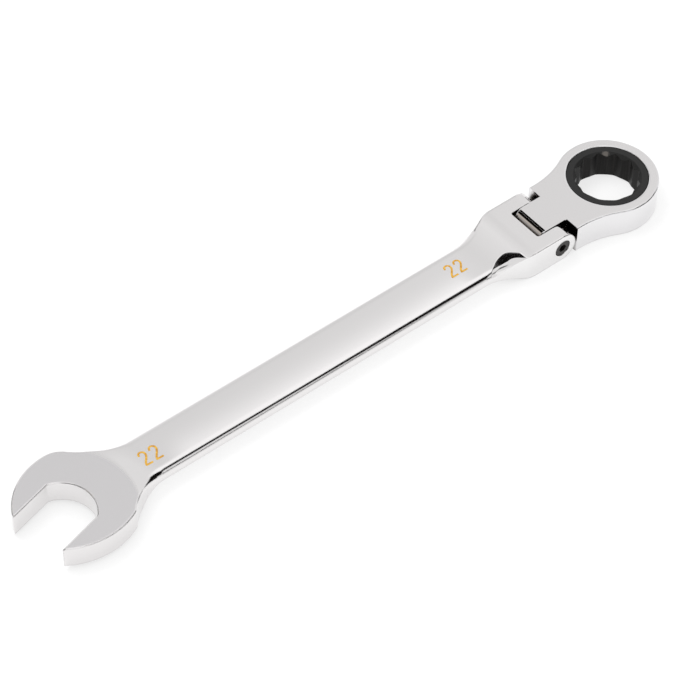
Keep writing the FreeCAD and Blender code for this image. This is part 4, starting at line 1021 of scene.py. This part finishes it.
@dataclass
class Handle:
    """The forging with the open end, the shank and the fork, its pin and its friction plug."""

    numbers: list[SizeNumber] = field(default_factory=lambda: [
        SizeNumber("size_number_open_end", (-216.1, -3.8)),
        SizeNumber("size_number_fork_end", (-77.0, -1.65), digit_height=5.8, advance=4.35),
    ])

    def dress(self) -> None:
        """Give the handle's nodes their finishes, and paint its numbers."""
        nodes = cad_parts
        wear(nodes["handle"], HandlePlate("chrome_plate_on_forged_handle").make())
        low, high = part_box("hinge_pin")
        # Oil-blackened steel: a soft black with brown where the oil thinned, and a painted
        # highlight inside the socket.
        wear(nodes["hinge_pin"], DarkSteel(
            "oil_blackened_pin_steel", colour="#2c2a29", streak_colour="#5c5854",
            streak_mm=(0.7, 0.7, 0.7), roughness=0.34, metallic=0.6, painted_highlight_colour="#e4dfda",
            painted_highlight_centre=((low[0] + high[0]) / 2 / MM, low[1] / MM + 1, (low[2] + high[2]) / 2 / MM),
            painted_highlight_reach=1.3).make())
        # Ground steel and drawn wire: bright grey with a soft, narrow shine.
        wear(nodes["friction_plunger"], DarkSteel("ground_plunger_steel", colour="#8a8886",
                                                  roughness=0.3, metallic=1.0).make())
        wear(nodes["friction_spring"], DarkSteel("drawn_spring_wire", colour="#8e8c88",
                                                 roughness=0.3, metallic=1.0).make())
        enamel = FillEnamel("baked_fill_enamel").make()
        for number in self.numbers:
            piece = number.build(enamel, nodes["handle"])
            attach(piece, "handle")
            LOG.info("%s: %d faces", piece.name, len(piece.data.polygons))


@dataclass
class RatchetHead:
    """The round head with its gear, ring, pawl and pawl spring."""

    def dress(self) -> None:
        """Give the head's nodes their finishes."""
        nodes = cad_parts
        wear(nodes["ratchet_head"], HeadPlate("chrome_plate_on_forged_head").make())
        # Phosphated steel: a dull charcoal skin, with painted shade that makes the hole's walls
        # nearly black and a painted highlight at one point of the rim.
        wear(nodes["drive_gear"], DarkSteel(
            "phosphated_gear_steel", colour="#2b2b2b", streak_colour="#363330",
            painted_wall_shade="#0f0d0c", metallic=0.3, roughness=0.46, gloss=0.25,
            painted_highlight_colour="#6a6561", painted_highlight_centre=(7.5, 9.2, 5.8), painted_highlight_reach=1.6,
            painted_highlight_facing=(0.4, 0.97)).make())
        wear(nodes["retaining_ring"], DarkSteel("phosphated_ring_steel").make())
        # Hardened steel left bare: grey, with faint darker streaks from the cutter.
        wear(nodes["pawl"], DarkSteel("hardened_pawl_steel", colour="#5a5856").make())
        wear(nodes["pawl_spring"], DarkSteel("drawn_pawl_wire", colour="#8e8c88",
                                             roughness=0.3, metallic=1.0).make())


def wear(node: bpy.types.Object, material: bpy.types.Material) -> None:
    """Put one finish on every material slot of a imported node."""
    for slot in node.material_slots:
        slot.material = material
    LOG.info("%s wears %s", node.name, material.name)


# ---------------------------------------------------------------------------------------------
# The studio
# ---------------------------------------------------------------------------------------------
@dataclass(frozen=True)
class Panel:
    """A far-off card that bright metal mirrors: a black flag, or a brown or grey surface.

    Angles are in degrees, and soft is the width of its edge as a share of its distance.
    """

    azimuth: float
    elevation: float
    half_width: float
    half_height: float
    colour: str = "#0c0a09"
    soft: float = 0.10
    roll: float = 0.0

    def mask(self, tree: Tree, way: Socket) -> Socket:
        """The share of this panel that is seen in a direction.

        Args:
            tree: The world's node tree.
            way: The socket of the direction looked along.

        Returns:
            A socket that is 1 inside the panel and 0 outside.
        """
        centre = direction(self.azimuth, self.elevation)
        across = centre.cross(Vector((0, 0, 1))).normalized()
        up = across.cross(centre)
        turn = Matrix.Rotation(math.radians(self.roll), 3, centre)
        parts = [add_node(tree, "ShaderNodeVectorMath", {0: way, 1: axis},
                          operation="DOT_PRODUCT").outputs["Value"]
                 for axis in (centre, turn @ across, turn @ up)]
        ahead = add_node(tree, "ShaderNodeMath", {
            0: parts[0], 1: 0.001,
        }, operation="MAXIMUM").outputs[0]
        share = add_node(tree, "ShaderNodeMath", {
            0: parts[0], 1: 0.01,
        }, operation="GREATER_THAN").outputs[0]
        for part, half in ((parts[1], self.half_width), (parts[2], self.half_height)):
            edge = math.tan(math.radians(half))
            off = add_node(tree, "ShaderNodeMath", {
                0: add_node(tree, "ShaderNodeMath", {
                    0: part, 1: ahead,
                }, operation="DIVIDE").outputs[0],
            }, operation="ABSOLUTE").outputs[0]
            share = add_node(tree, "ShaderNodeMath", {
                0: share,
                1: add_node(tree, "ShaderNodeMapRange", {
                    "Value": off, "From Min": edge + self.soft / 2,
                    "From Max": edge - self.soft / 2,
                }, interpolation_type="SMOOTHSTEP").outputs["Result"],
            }, operation="MULTIPLY").outputs[0]
        return share


@dataclass
class Studio:
    """Floor, environment, lamp and camera.

    Lengths are in millimetres, apart from the lamp's distance and size, which are in metres.
    Across is the share of a direction that points to +X and -Y, and a height is its share
    upwards.
    """

    floor_height: float = -6.02
    floor_reach: float = 3000.0
    floor_colour: str = "#9b9b9b"
    floor_glow: float = 0.72
    floor_bounce: str = "#f2f2f2"
    even_level: float = 0.85
    sweep: tuple[float, float] = (-0.12, 0.02)
    sweep_levels: tuple[float, float] = (0.79, 0.90)
    bright_across: tuple[float, float] = (0.01, 0.14)
    bright_heights: tuple[float, float] = (0.66, 0.77)
    bright_gain: float = 0.14
    far_across: tuple[float, float] = (-0.22, -0.5)
    top_heights: tuple[float, float] = (0.74, 0.88)
    soft_gain: float = 0.12
    lamp_azimuth: float = 120.0
    lamp_elevation: float = 62.0
    lamp_distance: float = 1.1
    lamp_size: tuple[float, float] = (0.7, 0.5)
    lamp_power: float = 4.0
    camera_target: tuple[float, float, float] = (-130.0, -7.9, 6.0)
    camera_distance: float = 1035.0
    camera_azimuth: float = -129.99
    camera_elevation: float = 48.60
    camera_roll: float = 1.33
    lens: float = 150.788571
    panels: Sequence[Panel] = (
        Panel(-33.0, 35.0, 22.0, 21.0, roll=-13.0, soft=0.06),
        Panel(-28.0, 20.0, 18.0, 14.0, soft=0.06),
        Panel(-71.0, 18.0, 9.0, 4.0, soft=0.03),
        Panel(-64.0, 65.0, 12.0, 9.5, soft=0.06),
        Panel(114.0, 25.0, 24.0, 12.0, soft=0.06),
        Panel(-165.0, 25.0, 28.0, 22.0, soft=0.06),
        Panel(148.0, 28.0, 13.0, 12.0, colour="#c2bab2"),
        Panel(149.0, 4.0, 14.0, 17.0, colour="#45403b", soft=0.25),
        Panel(146.0, 53.0, 9.5, 17.0, roll=-24.0, soft=0.05),
    )

    def floor(self) -> None:
        """Lay a pale floor under the tool that stays white and keeps a soft contact shadow."""
        reach, height = self.floor_reach * MM, self.floor_height * MM
        mesh = bpy.data.meshes.new("floor")
        mesh.from_pydata([(-reach, -reach, height), (reach, -reach, height),
                          (reach, reach, height), (-reach, reach, height)], [], [(0, 1, 2, 3)])
        floor = bpy.data.objects.new("floor", mesh)
        bpy.context.scene.collection.objects.link(floor)
        # Matt pale paper: it glows a little by itself, so it stays white round the shadow.
        material, tree = blank_material("pale_studio_floor")
        ray = add_node(tree, "ShaderNodeLightPath")
        matt = add_node(tree, "ShaderNodeBsdfDiffuse", {"Color": linear(self.floor_colour)})
        glow = add_node(tree, "ShaderNodeEmission", {"Color": WHITE, "Strength": self.floor_glow})
        lit = add_node(tree, "ShaderNodeAddShader", {0: matt.outputs[0], 1: glow.outputs[0]})
        plain = add_node(tree, "ShaderNodeBsdfDiffuse", {"Color": linear(self.floor_bounce)})
        seen = add_node(tree, "ShaderNodeMath", {
            0: ray.outputs["Is Camera Ray"],
            1: add_node(tree, "ShaderNodeMath", {
                0: ray.outputs["Is Glossy Ray"], 1: ray.outputs["Is Transmission Ray"],
            }, operation="MAXIMUM").outputs[0],
        }, operation="MAXIMUM").outputs[0]
        chosen = add_node(tree, "ShaderNodeMixShader",
                          {0: seen, 1: plain.outputs[0], 2: lit.outputs[0]})
        add_node(tree, "ShaderNodeOutputMaterial", {"Surface": chosen.outputs[0]})
        mesh.materials.append(material)

    def world(self) -> None:
        """Build the environment: even light for dull surfaces, panels for bright ones."""
        world = bpy.data.worlds.new("studio")
        bpy.context.scene.world = world
        world.use_nodes = True
        tree = world.node_tree
        tree.nodes.clear()
        ray = add_node(tree, "ShaderNodeLightPath")
        way = add_node(tree, "ShaderNodeTexCoord").outputs["Generated"]
        drift = add_node(tree, "ShaderNodeVectorMath",
                         {0: way, 1: Vector((1, -1, 0)).normalized()},
                         operation="DOT_PRODUCT").outputs["Value"]
        height = add_node(tree, "ShaderNodeSeparateXYZ", {0: way}).outputs["Z"]
        sweep = add_node(tree, "ShaderNodeMapRange",
                         {"Value": drift, "From Min": self.sweep[0],
                          "From Max": self.sweep[1], "To Min": self.sweep_levels[0],
                          "To Max": self.sweep_levels[1]}).outputs["Result"]
        bright = add_node(tree, "ShaderNodeMath", {
            0: add_node(tree, "ShaderNodeMapRange", {
                "Value": drift, "From Min": self.bright_across[0],
                "From Max": self.bright_across[1],
            }, interpolation_type="SMOOTHSTEP").outputs["Result"],
            1: add_node(tree, "ShaderNodeMapRange", {
                "Value": height, "From Min": self.bright_heights[0],
                "From Max": self.bright_heights[1],
            }, interpolation_type="SMOOTHSTEP").outputs["Result"],
        }, operation="MULTIPLY").outputs[0]
        sides = add_node(tree, "ShaderNodeMath", {
            0: add_node(tree, "ShaderNodeMath", {
                0: bright, 1: self.bright_gain,
            }, operation="MULTIPLY").outputs[0],
            1: add_node(tree, "ShaderNodeMath", {
                0: add_node(tree, "ShaderNodeMapRange", {
                    "Value": drift, "From Min": self.far_across[0], "From Max": self.far_across[1],
                }, interpolation_type="SMOOTHSTEP").outputs["Result"],
                1: self.soft_gain,
            }, operation="MULTIPLY").outputs[0],
        }, operation="ADD").outputs[0]
        above = add_node(tree, "ShaderNodeMath", {
            0: add_node(tree, "ShaderNodeMapRange", {
                "Value": height, "From Min": self.top_heights[0], "From Max": self.top_heights[1],
            }, interpolation_type="SMOOTHSTEP").outputs["Result"],
            1: self.soft_gain,
        }, operation="MULTIPLY").outputs[0]
        level = add_node(tree, "ShaderNodeMath", {
            0: add_node(tree, "ShaderNodeMath", {0: sweep, 1: sides}, operation="ADD").outputs[0],
            1: above,
        }, operation="ADD").outputs[0]
        seen_colour = add_node(tree, "ShaderNodeCombineColor",
                               {0: level, 1: level, 2: level}).outputs[0]
        for panel in self.panels:
            seen_colour = add_node(tree, "ShaderNodeMix", {
                0: panel.mask(tree, way), 6: seen_colour, 7: linear(panel.colour),
            }, data_type="RGBA").outputs[2]
        mirrored = add_node(tree, "ShaderNodeBackground",
                            {"Color": seen_colour, "Strength": 1.0})
        even = add_node(tree, "ShaderNodeBackground",
                        {"Color": WHITE, "Strength": self.even_level})
        white = add_node(tree, "ShaderNodeBackground", {"Color": WHITE, "Strength": 1.0})
        lit = add_node(tree, "ShaderNodeMixShader",
                       {0: ray.outputs["Is Glossy Ray"], 1: even.outputs[0],
                        2: mirrored.outputs[0]})
        seen = add_node(tree, "ShaderNodeMath", {
            0: ray.outputs["Is Camera Ray"], 1: ray.outputs["Is Transmission Ray"],
        }, operation="MAXIMUM").outputs[0]
        chosen = add_node(tree, "ShaderNodeMixShader",
                          {0: seen, 1: lit.outputs[0], 2: white.outputs[0]})
        add_node(tree, "ShaderNodeOutputWorld", {"Surface": chosen.outputs[0]})

    def lamp(self) -> None:
        """Hang one large soft lamp over the tool's far side."""
        data = bpy.data.lights.new("overhead_softbox", "AREA")
        data.shape = "RECTANGLE"
        data.size, data.size_y = self.lamp_size
        data.energy = self.lamp_power
        way = direction(self.lamp_azimuth, self.lamp_elevation)
        lamp = bpy.data.objects.new("overhead_softbox", data)
        lamp.matrix_world = Matrix.Translation(way * self.lamp_distance) \
            @ way.to_track_quat("Z", "Y").to_matrix().to_4x4()
        lamp.visible_glossy = False
        bpy.context.scene.collection.objects.link(lamp)

    def camera(self) -> None:
        """Set the camera: a long lens, high over the open end's near side."""
        target = Vector(self.camera_target) * MM
        back = direction(self.camera_azimuth, self.camera_elevation)
        right = (-back).cross(Vector((0, 0, 1))).normalized()
        up = right.cross(-back)
        lean = math.radians(self.camera_roll)
        side = math.cos(lean) * right + math.sin(lean) * up
        top = -math.sin(lean) * right + math.cos(lean) * up
        data = bpy.data.cameras.new("camera")
        data.sensor_fit = "HORIZONTAL"
        data.sensor_width = 36.0
        data.lens = self.lens
        data.clip_start, data.clip_end = 0.01, 20.0
        camera = bpy.data.objects.new("camera", data)
        camera.matrix_world = Matrix.Translation(target + back * (self.camera_distance * MM)) \
            @ Matrix((side, top, back)).transposed().to_4x4()
        bpy.context.scene.collection.objects.link(camera)
        bpy.context.scene.camera = camera

    def build(self) -> None:
        """Build the whole studio."""
        self.camera()
        self.floor()
        self.world()
        self.lamp()
        bpy.context.scene.view_settings.view_transform = "Standard"


def main() -> None:
    """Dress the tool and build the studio."""
    logging.basicConfig(level=logging.INFO, format="%(name)s: %(message)s")
    Handle().dress()
    RatchetHead().dress()
    Studio().build()


if __name__ == "__main__":
    main()
